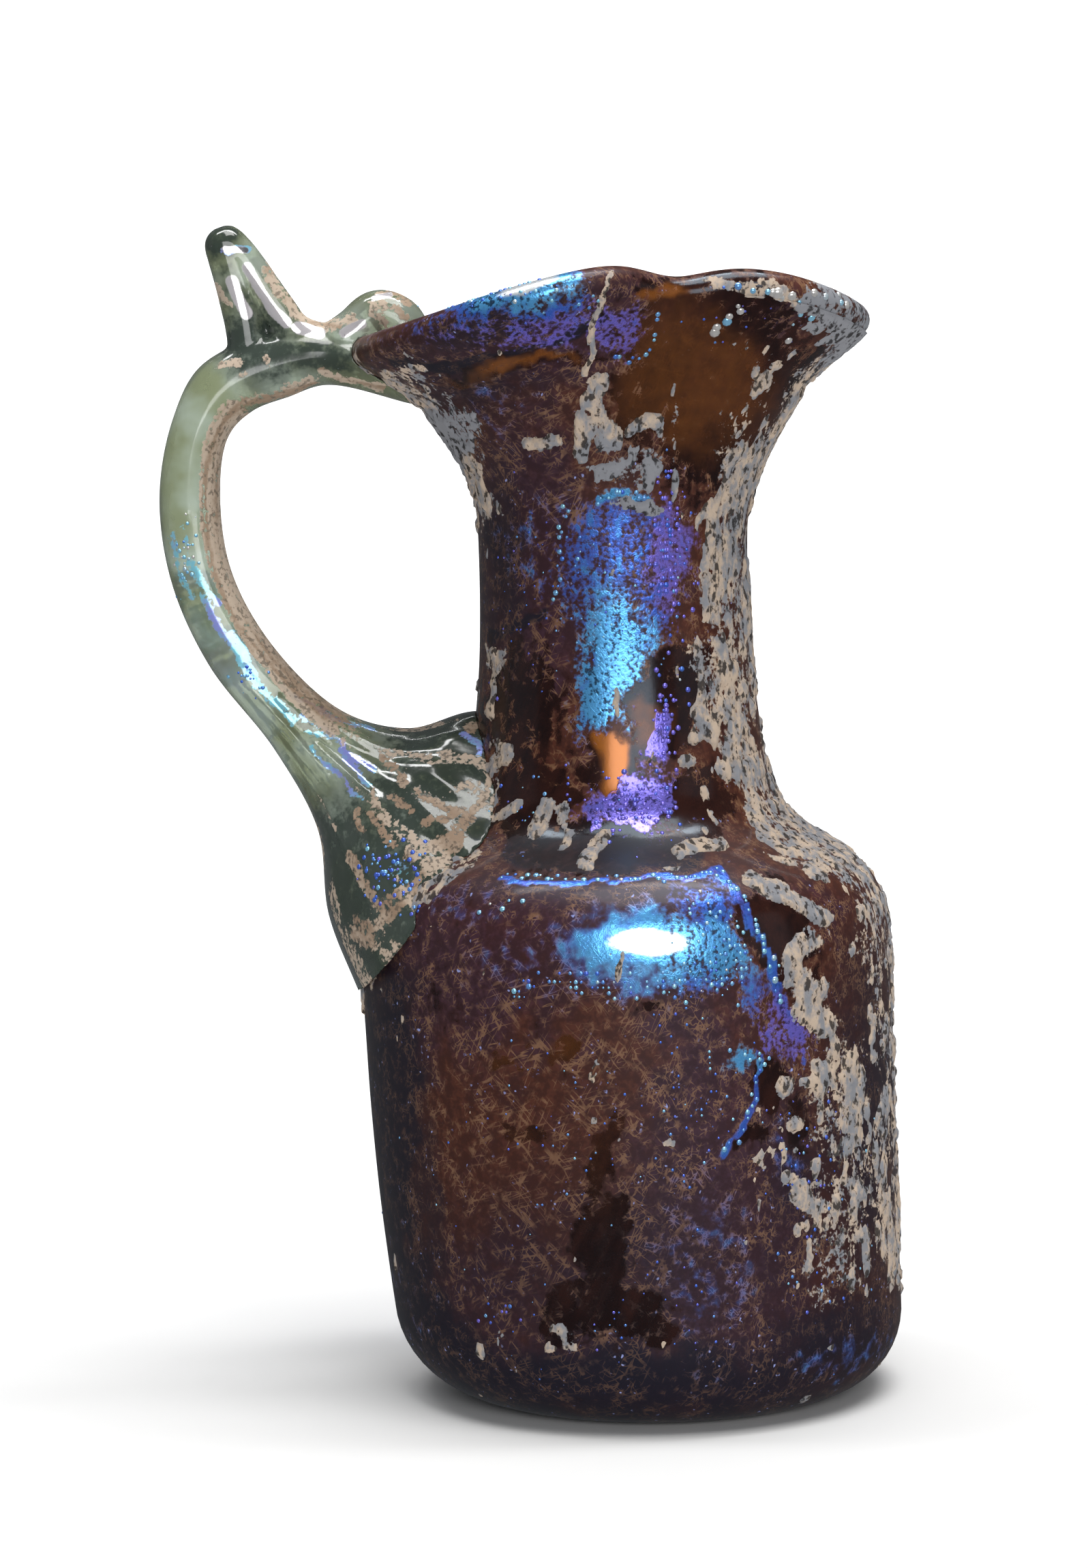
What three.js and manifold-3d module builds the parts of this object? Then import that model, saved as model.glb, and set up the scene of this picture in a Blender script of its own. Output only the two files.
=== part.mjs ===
// A small ancient pitcher of blown amber glass: a round body with a soft base, a sloping shoulder,
// a slender neck and a flared mouth pinched at front and back. An applied handle of pale green
// glass spreads over the shoulder, bows outward, folds up into a thumb-rest and grips the rim.
// Millimetres, +Z up, spout towards +X, handle towards -X, origin at the middle of the flat base.
import * as THREE from 'three';
import Module from 'manifold-3d';

// Body, shoulder and neck, outside
const BASE_CORNER = 9.3;
const WALL_FOOT_RADIUS = 27.05;
const WALL_TOP_RADIUS = 28.05;
const WALL_TOP = 47;
const SHOULDER_RADIUS = 20.6;
const SHOULDER_HEIGHT = 59.2;
const NECK_ROOT_RADIUS = 15.4;
const NECK_ROOT = 68.4;
const NECK_RADIUS = 14.2;
const NECK_TOP = 91;

// Control points, as radius and height, of the curves that join those places
const WALL_PULL = [WALL_TOP_RADIUS, 30];
const SHOULDER_PULLS = [[WALL_TOP_RADIUS, 54.8], [25.6, 56.2]];
const ROOT_PULLS = [[17.2, 61.5], [16.1, 63.6]];
const NECK_PULLS = [[14.6, 73.5], [14, 81]];

// The blown body leans towards the handle: the axis moves by LEAN and settles over LEAN_HEIGHT
const LEAN = -3.9;
const LEAN_HEIGHT = 36;

// Glass thickness
const WALL = 2.1;
const FLOOR = 3.6;

// Mouth: mean rim radius, how far the spout outreaches the handle side, and the two pinches
const RIM_RADIUS = 26;
const RIM_OVERREACH = 0.2;
const PINCH_DEPTH = 6.5;
const PINCH_ANGLE = THREE.MathUtils.degToRad(70);
const PINCH_SPREAD = THREE.MathUtils.degToRad(26);
const FLARE_POWER = 1.92;
const FLARE_SKEW = 0.18;

// Rim height: mean, rise towards the spout, saddle, lobe correction and the dip in each pinch
const RIM_HEIGHT = 113.6;
const RIM_RISE = 2.1;
const RIM_SADDLE = 2.8;
const RIM_LOBE = 0.7;
const RIM_DIP = 1.9;
const DIP_SPREAD = THREE.MathUtils.degToRad(15);

// The fire-rounded lip is a band that swells out of the wall
const LIP_BAND_START = 0.74;
const LIP_SWELL = 0.9;
const LIP_INNER_SWELL = 0.5;

// Space left between the handle and the vessel
const CLEARANCE = 0.35;

// The handle's strap, from the grip under the rim to the web on the shoulder: places of its outer
// and inner edge in the plane y = 0, its half depth across that plane, and how far its fullest part
// moves towards the outer edge
const STRAP_STATIONS = [
  { outer: [-28.4, 111], inner: [-24.2, 104.6], depth: 4.2, pear: 0 },
  { outer: [-33.2, 112.6], inner: [-33.4, 106.8], depth: 3.1, pear: 0 },
  { outer: [-40.6, 111.9], inner: [-37.4, 105.6], depth: 3, pear: 0 },
  { outer: [-46.7, 108.9], inner: [-41.2, 104.2], depth: 3.2, pear: 0 },
  { outer: [-49.6, 103.6], inner: [-43.8, 101.6], depth: 3.4, pear: 0 },
  { outer: [-51.2, 95.6], inner: [-44.8, 95.6], depth: 3.5, pear: 0 },
  { outer: [-50.2, 86.6], inner: [-43.7, 87.2], depth: 3.6, pear: 0 },
  { outer: [-46.4, 77.6], inner: [-39.2, 79], depth: 3.9, pear: 0 },
  { outer: [-39.6, 68.5], inner: [-32.2, 72.4], depth: 4.9, pear: 0.1 },
  { outer: [-35.2, 60], inner: [-25.4, 70.6], depth: 7.2, pear: 0.25 },
  { outer: [-34.2, 51], inner: [-17.8, 72.3], depth: 11.4, pear: 0.36 },
  { outer: [-31.2, 43], inner: [-10, 69], depth: 16.4, pear: 0.42 },
];

// The thumb-rest is a fold of two strands side by side that meet in one rounded tip
const RISING_STRAND = { path: [[-42, 105.6], [-41.2, 111.2], [-41.9, 116], [-44.2, 123.6]], radius: 2.4 };
const FALLING_STRAND = {
  path: [[-45, 123], [-43.2, 120.7], [-39, 114.9], [-36.8, 112.2], [-32, 110.9]], radius: 2.2,
};

// The end of the trail, wrapped over the rim and curled down inside it
const RIM_CURL = {
  path: [[-33.6, 110.2], [-30.4, 112.2], [-27.9, 114.1], [-25.6, 113.2], [-24.6, 110]], radius: 2.6,
};

// Facets around each piece, and rows of facets along each stretch
const VESSEL_SIDES = 48;
const STRAP_SIDES = 14;
const STRAND_SIDES = 10;
const CORNER_ROWS = 6;
const WALL_ROWS = 4;
const SHOULDER_ROWS = 7;
const ROOT_ROWS = 6;
const NECK_ROWS = 5;
const MOUTH_ROWS = 10;
const LIP_ROWS = 5;
const STRAP_ROWS = 48;
const STRAND_ROWS = 16;

// The cutter that shapes the handle's ends is solid below this row of the mouth
const CUTTER_FLOOR = 4;

const wasm = await Module();
wasm.setup();

// One closed surface through rings of equal length, with a fan to a centre point at each end
function loft(rings, startCentre, endCentre) {
  const count = rings[0].length;
  const points = [...rings.flat(), startCentre, endCentre];
  const start = points.length - 2;
  const end = points.length - 1;
  const index = [];
  for (let row = 0; row < rings.length - 1; row += 1) {
    for (let side = 0; side < count; side += 1) {
      const a = row * count + side;
      const b = row * count + ((side + 1) % count);
      index.push(a, b, b + count, a, b + count, a + count);
    }
  }
  const lastRow = (rings.length - 1) * count;
  for (let side = 0; side < count; side += 1) {
    const next = (side + 1) % count;
    index.push(start, next, side);
    index.push(end, lastRow + side, lastRow + next);
  }
  const geometry = new THREE.BufferGeometry().setFromPoints(points);
  geometry.setIndex(index);
  return facingOut(geometry);
}

// Turns every triangle round when the enclosed volume comes out negative
function facingOut(geometry) {
  const position = geometry.getAttribute('position');
  const index = geometry.getIndex();
  const [a, b, c] = [new THREE.Vector3(), new THREE.Vector3(), new THREE.Vector3()];
  let volume = 0;
  for (let corner = 0; corner < index.count; corner += 3) {
    a.fromBufferAttribute(position, index.getX(corner));
    b.fromBufferAttribute(position, index.getX(corner + 1));
    c.fromBufferAttribute(position, index.getX(corner + 2));
    volume += a.dot(b.cross(c));
  }
  if (volume < 0) {
    index.array.reverse();
  }
  return geometry;
}

function toSolid(geometry) {
  const vertProperties = new Float32Array(geometry.getAttribute('position').array);
  const triVerts = new Uint32Array(geometry.getIndex().array);
  return new wasm.Manifold(new wasm.Mesh({ numProp: 3, vertProperties, triVerts }));
}

function toGeometry(solid) {
  const mesh = solid.getMesh();
  const geometry = new THREE.BufferGeometry();
  geometry.setAttribute('position', new THREE.BufferAttribute(mesh.vertProperties, 3));
  geometry.setIndex(new THREE.BufferAttribute(mesh.triVerts, 1));
  return geometry;
}

function axisShift(z) {
  return LEAN * (1 - Math.exp(-Math.max(z, 0) / LEAN_HEIGHT));
}

// A bump of height 1 at each of the two pinches, front and back
function pinch(angle, spread) {
  const fromSpout = Math.abs(Math.atan2(Math.sin(angle), Math.cos(angle)));
  return Math.exp(-(((fromSpout - PINCH_ANGLE) / spread) ** 2));
}

function rimRadius(angle) {
  return RIM_RADIUS + RIM_OVERREACH * Math.cos(angle) - PINCH_DEPTH * pinch(angle, PINCH_SPREAD);
}

function rimHeight(angle) {
  const saddle = RIM_RISE * Math.cos(angle) - RIM_SADDLE * Math.cos(2 * angle);
  return RIM_HEIGHT + saddle - RIM_LOBE * Math.cos(3 * angle) - RIM_DIP * pinch(angle, DIP_SPREAD);
}

// The outside from the edge of the flat base up to the top of the neck, as radius and height
function bodyProfile() {
  const at = ([radius, height]) => new THREE.Vector2(radius, height);
  const flat = WALL_FOOT_RADIUS - BASE_CORNER;
  const wallFoot = at([WALL_FOOT_RADIUS, BASE_CORNER]);
  const wallTop = at([WALL_TOP_RADIUS, WALL_TOP]);
  const shoulder = at([SHOULDER_RADIUS, SHOULDER_HEIGHT]);
  const neckRoot = at([NECK_ROOT_RADIUS, NECK_ROOT]);
  const neckTop = at([NECK_RADIUS, NECK_TOP]);
  const corner = new THREE.EllipseCurve(
    flat, BASE_CORNER, BASE_CORNER, BASE_CORNER, -Math.PI / 2, 0);
  const wall = new THREE.QuadraticBezierCurve(wallFoot, at(WALL_PULL), wallTop);
  const turn = new THREE.CubicBezierCurve(wallTop, ...SHOULDER_PULLS.map(at), shoulder);
  const root = new THREE.CubicBezierCurve(shoulder, ...ROOT_PULLS.map(at), neckRoot);
  const neck = new THREE.CubicBezierCurve(neckRoot, ...NECK_PULLS.map(at), neckTop);
  const profile = [at([flat, 0])];
  profile.push(...corner.getPoints(CORNER_ROWS).slice(1));
  profile.push(...wall.getPoints(WALL_ROWS).slice(1));
  profile.push(...turn.getPoints(SHOULDER_ROWS).slice(1));
  profile.push(...root.getPoints(ROOT_ROWS).slice(1));
  profile.push(...neck.getPoints(NECK_ROWS).slice(1));
  return profile;
}

// The outside of the mouth at one angle, from the neck out to the rim
function mouthProfile(angle) {
  const profile = [];
  for (let row = 1; row <= MOUTH_ROWS; row += 1) {
    const along = row / MOUTH_ROWS;
    const flare = along ** (FLARE_POWER - FLARE_SKEW * Math.cos(angle));
    const radius = THREE.MathUtils.lerp(NECK_RADIUS, rimRadius(angle), flare);
    const height = THREE.MathUtils.lerp(NECK_TOP, rimHeight(angle), along);
    profile.push(new THREE.Vector2(radius, height));
  }
  return profile;
}

// Unit normals of an open profile, pointing away from the axis side
function profileNormals(profile) {
  return profile.map((point, i) => {
    const before = profile[Math.max(i - 1, 0)];
    const after = profile[Math.min(i + 1, profile.length - 1)];
    const along = after.clone().sub(before).normalize();
    return i === 0 ? new THREE.Vector2(0, -1) : new THREE.Vector2(along.y, -along.x);
  });
}

// Outside, lip and inside at one angle; growth thickens the glass on both faces, and below the
// mouth the inside takes every second row of the outside
function glassSection(angle, growth, reachesFloor) {
  const body = bodyProfile();
  const outline = [...body, ...mouthProfile(angle)];
  const normals = profileNormals(outline);
  const outside = [];
  const inside = [];
  outline.forEach((point, i) => {
    const along = (i - body.length + 1) / MOUTH_ROWS;
    const band = THREE.MathUtils.smoothstep(along, LIP_BAND_START, 1);
    const floorShare = 1 - THREE.MathUtils.smoothstep(point.y, 0, BASE_CORNER);
    const thickness = THREE.MathUtils.lerp(WALL, FLOOR, floorShare);
    const outer = LIP_SWELL * band + growth;
    const inner = thickness + LIP_INNER_SWELL * band + growth;
    outside.push(point.clone().addScaledVector(normals[i], outer));
    inside.push(point.clone().addScaledVector(normals[i], -inner));
  });
  const lip = lipArc(outside.at(-1), inside.at(-1));
  const lowest = reachesFloor ? 0 : body.length + CUTTER_FLOOR;
  const everySecond = (_, i) => i >= lowest && (i >= body.length || i % 2 === 0);
  return [...outside, ...lip, ...inside.filter(everySecond).reverse()];
}

// The rounded edge that joins the outside to the inside
function lipArc(outer, inner) {
  const centre = outer.clone().add(inner).multiplyScalar(0.5);
  const across = outer.clone().sub(centre);
  const onward = new THREE.Vector2(-across.y, across.x);
  const arc = [];
  for (let row = 1; row < LIP_ROWS; row += 1) {
    const turn = (Math.PI * row) / LIP_ROWS;
    const point = centre.clone().addScaledVector(across, Math.cos(turn));
    arc.push(point.addScaledVector(onward, Math.sin(turn)));
  }
  return arc;
}

// The vessel's glass as one closed surface
function vesselGeometry(growth, reachesFloor) {
  const sections = [];
  for (let side = 0; side < VESSEL_SIDES; side += 1) {
    const angle = (2 * Math.PI * side) / VESSEL_SIDES;
    const section = glassSection(angle, growth, reachesFloor);
    sections.push(section.map((point) => new THREE.Vector3(
      axisShift(point.y) + point.x * Math.cos(angle), point.x * Math.sin(angle), point.y)));
  }
  const rings = sections[0].map((_, row) => sections.map((section) => section[row]));
  const centreOf = (ring) => new THREE.Vector3(axisShift(ring[0].z), 0, ring[0].z);
  return loft(rings, centreOf(rings[0]), centreOf(rings.at(-1)));
}

// The strap between its two edges: each ring spans from the outer edge to the inner edge
function strapGeometry() {
  const rail = (name) => new THREE.CatmullRomCurve3(
    STRAP_STATIONS.map((station) => new THREE.Vector3(station[name][0], 0, station[name][1])));
  const measures = new THREE.CatmullRomCurve3(
    STRAP_STATIONS.map((station) => new THREE.Vector3(station.depth, station.pear, 0)));
  const outerRail = rail('outer');
  const innerRail = rail('inner');
  const rings = [];
  for (let row = 0; row <= STRAP_ROWS; row += 1) {
    const outer = outerRail.getPoint(row / STRAP_ROWS);
    const inner = innerRail.getPoint(row / STRAP_ROWS);
    const measure = measures.getPoint(row / STRAP_ROWS);
    const ring = [];
    for (let side = 0; side < STRAP_SIDES; side += 1) {
      const turn = (2 * Math.PI * side) / STRAP_SIDES;
      const across = Math.cos(turn);
      const point = outer.clone().lerp(inner, (1 + across) / 2);
      point.y = measure.x * Math.sin(turn) * (1 - measure.y * across);
      ring.push(point);
    }
    rings.push(ring);
  }
  const centreOf = (ring) => ring[0].clone().lerp(ring[STRAP_SIDES / 2], 0.5);
  return loft(rings, centreOf(rings[0]), centreOf(rings.at(-1)));
}

// A round strand through points of the handle's plane, with dome-shaped ends
function strandGeometry({ path, radius }) {
  const curve = new THREE.CatmullRomCurve3(path.map(([x, z]) => new THREE.Vector3(x, 0, z)));
  const side = new THREE.Vector3(0, 1, 0);
  const rings = [];
  for (let row = 1; row < STRAND_ROWS; row += 1) {
    const along = (1 - Math.cos((Math.PI * row) / STRAND_ROWS)) / 2;
    const centre = curve.getPointAt(along);
    const up = curve.getTangentAt(along).cross(side).normalize();
    const toEnd = curve.getLength() * Math.min(along, 1 - along);
    const girth = radius * Math.sqrt(1 - Math.max(1 - toEnd / radius, 0) ** 2);
    const ring = [];
    for (let step = 0; step < STRAND_SIDES; step += 1) {
      const turn = (2 * Math.PI * step) / STRAND_SIDES;
      const point = centre.clone().addScaledVector(up, girth * Math.cos(turn));
      ring.push(point.addScaledVector(side, girth * Math.sin(turn)));
    }
    rings.push(ring);
  }
  return loft(rings, curve.getPointAt(0), curve.getPointAt(1));
}

// The whole handle as one body, cut back from the vessel by the clearance
function handleGeometry() {
  const cutter = toSolid(vesselGeometry(CLEARANCE, false));
  let handle = toSolid(strapGeometry());
  for (const strand of [RISING_STRAND, FALLING_STRAND, RIM_CURL]) {
    handle = handle.add(toSolid(strandGeometry(strand)));
  }
  return toGeometry(handle.subtract(cutter));
}

const amberGlass = new THREE.MeshStandardMaterial({ color: 0x4a2418, roughness: 0.28, metalness: 0 });
const greenGlass = new THREE.MeshStandardMaterial({ color: 0x93a68f, roughness: 0.2, metalness: 0 });

const vessel = new THREE.Mesh(vesselGeometry(0, true), amberGlass);
vessel.name = 'vessel';

const handle = new THREE.Mesh(handleGeometry(), greenGlass);
handle.name = 'handle';

const pitcher = new THREE.Group();
pitcher.add(vessel, handle);

export default pitcher;
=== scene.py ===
import math
from itertools import product

import bpy
import numpy as np
from mathutils import Matrix, Vector


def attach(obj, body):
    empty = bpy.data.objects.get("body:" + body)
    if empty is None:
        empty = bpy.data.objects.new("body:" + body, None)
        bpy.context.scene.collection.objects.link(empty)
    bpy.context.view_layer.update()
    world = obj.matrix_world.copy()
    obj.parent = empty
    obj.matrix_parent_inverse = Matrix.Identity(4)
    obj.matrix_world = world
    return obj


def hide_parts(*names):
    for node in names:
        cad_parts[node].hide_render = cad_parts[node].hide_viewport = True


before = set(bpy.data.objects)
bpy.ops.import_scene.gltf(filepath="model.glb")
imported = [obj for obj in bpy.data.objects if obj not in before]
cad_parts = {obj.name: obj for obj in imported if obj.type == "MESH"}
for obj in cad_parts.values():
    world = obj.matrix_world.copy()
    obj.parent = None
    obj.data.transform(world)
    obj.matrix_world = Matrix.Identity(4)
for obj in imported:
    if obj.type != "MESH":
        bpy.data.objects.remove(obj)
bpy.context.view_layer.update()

MM = 0.001

# Camera, found from the outline in the photograph: place, tilt and focal length in pixels
PHOTO_WIDTH = 1596
PHOTO_HEIGHT = 2300
CAMERA_PLACE = np.array([-11.2, -481.5, 108.7])
CAMERA_PITCH = math.radians(5.25)
CAMERA_ROLL = math.radians(-0.82)
FOCAL_PIXELS = 6706
SENSOR = 36
CLIP_START = 0.01

# Vessel, outside
BASE_CORNER = 9.3
WALL_FOOT_RADIUS = 27.05
WALL_TOP_RADIUS = 28.05
WALL_TOP = 47
SHOULDER_RADIUS = 20.6
SHOULDER_HEIGHT = 59.2
NECK_ROOT_RADIUS = 15.4
NECK_ROOT = 68.4
NECK_RADIUS = 14.2
NECK_TOP = 91
WALL_PULL = (WALL_TOP_RADIUS, 30)
SHOULDER_PULLS = ((WALL_TOP_RADIUS, 54.8), (25.6, 56.2))
ROOT_PULLS = ((17.2, 61.5), (16.1, 63.6))
NECK_PULLS = ((14.6, 73.5), (14, 81))
LEAN = -3.9
LEAN_HEIGHT = 36
WALL = 2.1
FLOOR = 3.6

# Mouth
RIM_RADIUS = 26
RIM_OVERREACH = 0.2
PINCH_DEPTH = 6.5
PINCH_ANGLE = math.radians(70)
PINCH_SPREAD = math.radians(26)
FLARE_POWER = 1.92
FLARE_SKEW = 0.18
RIM_HEIGHT = 113.6
RIM_RISE = 2.1
RIM_SADDLE = 2.8
RIM_LOBE = 0.7
RIM_DIP = 1.9
DIP_SPREAD = math.radians(15)
LIP_BAND_START = 0.74
LIP_SWELL = 0.9
LIP_INNER_SWELL = 0.5

# Handle: stations of the strap as outer edge, inner edge, half depth and pear shape
STRAP_STATIONS = (
    ((-28.4, 111), (-24.2, 104.6), 4.2, 0),
    ((-33.2, 112.6), (-33.4, 106.8), 3.1, 0),
    ((-40.6, 111.9), (-37.4, 105.6), 3, 0),
    ((-46.7, 108.9), (-41.2, 104.2), 3.2, 0),
    ((-49.6, 103.6), (-43.8, 101.6), 3.4, 0),
    ((-51.2, 95.6), (-44.8, 95.6), 3.5, 0),
    ((-50.2, 86.6), (-43.7, 87.2), 3.6, 0),
    ((-46.4, 77.6), (-39.2, 79), 3.9, 0),
    ((-39.6, 68.5), (-32.2, 72.4), 4.9, 0.1),
    ((-35.2, 60), (-25.4, 70.6), 7.2, 0.25),
    ((-34.2, 51), (-17.8, 72.3), 11.4, 0.36),
    ((-31.2, 43), (-10, 69), 16.4, 0.42),
)
RISING_PATH = ((-42.2, 105.6), (-41.7, 111.2), (-42.5, 116), (-44.4, 123.4))
RISING_RADIUS = 2.05
FALLING_PATH = ((-45, 122.9), (-42.7, 120.9), (-38.6, 115.1), (-36.5, 112.4), (-32, 110.9))
FALLING_RADIUS = 1.95
CURL_PATH = ((-33.6, 110.2), (-30.4, 112.2), (-27.9, 114.1), (-25.6, 113.2), (-24.6, 110))
CURL_RADIUS = 2.6
STRANDS = (
    (RISING_PATH, RISING_RADIUS),
    (FALLING_PATH, FALLING_RADIUS),
    (CURL_PATH, CURL_RADIUS),
)
STRAND_END = 0.02
LANES_ALONG = 9
LANES_ACROSS = 17
ROOT_RIDGES = 1.3
RIDGE_SPAN = (0.6, 0.75)
RIDGE_SEED = 131
HANDLE_GAP = 0.05
HANDLE_VOXEL = 0.32
SOFTEN_FACTOR = 0.5
SOFTEN_ROUNDS = 4

# Rows of faces along each stretch of the vessel and handle, and faces around them; the crust's grid
# is finer than the vessel's
SIDES = 320
CORNER_ROWS = 12
WALL_ROWS = 62
SHOULDER_ROWS = 26
ROOT_ROWS = 20
NECK_ROWS = 40
MOUTH_ROWS = 44
LIP_ROWS = 12
INSIDE_STEP = 3
CRUST_FINENESS = 1.7
STRAP_ROWS = 260
STRAP_SIDES = 72
STRAND_ROWS = 60
STRAND_SIDES = 28
STRAND_SAMPLES = 400

# Hand-blown unevenness of the wall, a crease under the lip, and height of the crust over the glass.
# Noise is given as size in millimetres, seed, octaves and gain.
WOBBLE = 0.16
WOBBLE_NOISE = (16, 5, 2)
CREASE = 0.3
CREASE_PLACE = 0.7
CREASE_SPREAD = 0.035
CRUST_RELIEF = 0.4
CRUST_LEVEL = 0.62
CRUST_RAMP = 0.3
CRUST_STRETCH = (1, 1, 0.6)
CRUST_SINK = -0.05
CRUST_ROOT = -0.22
LUMP_NOISE = (1.25, 83, 4, 3)
LUMP_WEIGHT = 0.6
GAP_NOISE = (4, 91, 3, 2.4)
GAP_WEIGHT = 0.45
GRAIN_NOISE = (0.6, 97)
NEAR_ZERO = 1e-9


def smooth_step(low, high, value):
    share = np.clip((value - low) / (high - low), 0, 1)
    return share * share * (3 - 2 * share)


def lattice_noise(points, size, seed):
    """A smooth random field from 0 to 1 with features about size millimetres across."""
    spot = points / size + seed * 3.7
    cell = np.floor(spot).astype(np.int64)
    share = spot - cell
    share = share * share * (3 - 2 * share)
    total = np.zeros(points.shape[:-1])
    for corner in product((0, 1), repeat=3):
        key = (cell + corner) * (73856093, 19349663, 83492791)
        mixed = (key[..., 0] ^ key[..., 1] ^ key[..., 2] ^ (seed * 668265263)) & 0xFFFFFFFF
        mixed = ((mixed ^ (mixed >> 15)) * 2246822519) & 0xFFFFFFFF
        mixed = ((mixed ^ (mixed >> 13)) * 3266489917) & 0xFFFFFFFF
        value = ((mixed ^ (mixed >> 16)) & 0xFFFF) / 0xFFFF
        total += value * np.prod(np.where(corner, share, 1 - share), axis=-1)
    return total


def cloud(points, size, seed, octaves=3, gain=1):
    """Layered noise around 0.5; gain widens its contrast."""
    total = 0
    weight = 0
    for octave in range(octaves):
        total = total + lattice_noise(points, size / 2 ** octave, seed + octave) / 2 ** octave
        weight += 1 / 2 ** octave
    return 0.5 + gain * (total / weight - 0.5)


# Form of the vessel


def bezier(points, steps):
    share = np.linspace(0, 1, steps + 1)[1:, None]
    layer = [np.array(point, float) for point in points]
    while len(layer) > 1:
        layer = [first + (second - first) * share for first, second in zip(layer, layer[1:])]
    return layer[0]


def finer(count, fineness):
    return int(round(count * fineness))


def body_outline(fineness):
    flat = WALL_FOOT_RADIUS - BASE_CORNER
    turn = np.linspace(-math.pi / 2, 0, finer(CORNER_ROWS, fineness) + 1)
    corner = np.stack([flat + BASE_CORNER * np.cos(turn), BASE_CORNER * (1 + np.sin(turn))], 1)
    wall_foot = (WALL_FOOT_RADIUS, BASE_CORNER)
    wall_top = (WALL_TOP_RADIUS, WALL_TOP)
    shoulder = (SHOULDER_RADIUS, SHOULDER_HEIGHT)
    neck_root = (NECK_ROOT_RADIUS, NECK_ROOT)
    neck_top = (NECK_RADIUS, NECK_TOP)
    return np.concatenate([
        corner,
        bezier((wall_foot, WALL_PULL, wall_top), finer(WALL_ROWS, fineness)),
        bezier((wall_top, *SHOULDER_PULLS, shoulder), finer(SHOULDER_ROWS, fineness)),
        bezier((shoulder, *ROOT_PULLS, neck_root), finer(ROOT_ROWS, fineness)),
        bezier((neck_root, *NECK_PULLS, neck_top), finer(NECK_ROWS, fineness)),
    ])


def pinch(angle, spread):
    from_spout = np.abs(np.arctan2(np.sin(angle), np.cos(angle)))
    return np.exp(-(((from_spout - PINCH_ANGLE) / spread) ** 2))


def rim_radius(angle):
    return RIM_RADIUS + RIM_OVERREACH * np.cos(angle) - PINCH_DEPTH * pinch(angle, PINCH_SPREAD)


def rim_height(angle):
    saddle = RIM_RISE * np.cos(angle) - RIM_SADDLE * np.cos(2 * angle)
    return RIM_HEIGHT + saddle - RIM_LOBE * np.cos(3 * angle) - RIM_DIP * pinch(angle, DIP_SPREAD)


def glass_sections(angle, fineness, growth):
    """Outside and inside, as radius and height, for every row and angle."""
    body = body_outline(fineness)
    along = np.linspace(0, 1, finer(MOUTH_ROWS, fineness) + 1)[1:, None]
    flare = along ** (FLARE_POWER - FLARE_SKEW * np.cos(angle))
    radius = NECK_RADIUS + (rim_radius(angle) - NECK_RADIUS) * flare
    height = NECK_TOP + (rim_height(angle) - NECK_TOP) * along
    lower = np.broadcast_to(body[:, None, :], (len(body), len(angle), 2))
    outline = np.concatenate([lower, np.stack([radius, height], -1)])
    onward = np.gradient(outline, axis=0)
    onward /= np.linalg.norm(onward, axis=-1, keepdims=True)
    normal = np.stack([onward[..., 1], -onward[..., 0]], -1)
    normal[0] = (0, -1)
    share = np.concatenate([np.zeros(len(body)), along[:, 0]])[:, None]
    band = smooth_step(LIP_BAND_START, 1, share)
    thickness = FLOOR + (WALL - FLOOR) * smooth_step(0, BASE_CORNER, outline[..., 1])
    crease = CREASE * np.exp(-(((share - CREASE_PLACE) / CREASE_SPREAD) ** 2))
    outside = outline + normal * (LIP_SWELL * band - crease + growth)[..., None]
    inside = outline - normal * (thickness + LIP_INNER_SWELL * band + growth)[..., None]
    return outside, inside


def lip_arc(outer, inner):
    centre = (outer + inner) / 2
    across = outer - centre
    onward = np.stack([-across[..., 1], across[..., 0]], -1)
    turn = (math.pi * np.arange(1, LIP_ROWS) / LIP_ROWS)[:, None, None]
    return centre + across * np.cos(turn) + onward * np.sin(turn)


def stand_up(section, angle):
    """Turns radius and height at each angle into places, on the leaning axis."""
    radius, height = section[..., 0], section[..., 1]
    shift = LEAN * (1 - np.exp(-np.maximum(height, 0) / LEAN_HEIGHT))
    return np.stack([shift + radius * np.cos(angle), radius * np.sin(angle), height], -1)


def ring_angles(count):
    return np.arange(count) * 2 * math.pi / count


def grid_normals(points):
    down = np.gradient(points, axis=0)
    around = np.roll(points, -1, axis=1) - np.roll(points, 1, axis=1)
    normal = np.cross(around, down)
    return normal / np.maximum(np.linalg.norm(normal, axis=-1, keepdims=True), NEAR_ZERO)


def uneven(points, normals):
    """Moves the glass in and out a little, as blowing leaves it, but not at the flat base."""
    lift = smooth_step(0, BASE_CORNER, points[..., 2])
    wave = 2 * cloud(points, *WOBBLE_NOISE) - 1
    return points + normals * (WOBBLE * lift * wave)[..., None]


# Places in the photograph


def camera_axes():
    right = np.array([1.0, 0, 0])
    up = np.array([0, math.sin(CAMERA_PITCH), math.cos(CAMERA_PITCH)])
    forward = np.array([0, math.cos(CAMERA_PITCH), -math.sin(CAMERA_PITCH)])
    cosine, sine = math.cos(CAMERA_ROLL), math.sin(CAMERA_ROLL)
    return right * cosine + up * sine, up * cosine - right * sine, forward


def pixels(points):
    """Where a place on the object lies in the photograph's 1596 by 2300 frame."""
    right, up, forward = camera_axes()
    offset = points - CAMERA_PLACE
    depth = offset @ forward
    column = PHOTO_WIDTH / 2 + FOCAL_PIXELS * (offset @ right) / depth
    row = PHOTO_HEIGHT / 2 - FOCAL_PIXELS * (offset @ up) / depth
    return np.stack([column, row], -1)


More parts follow.
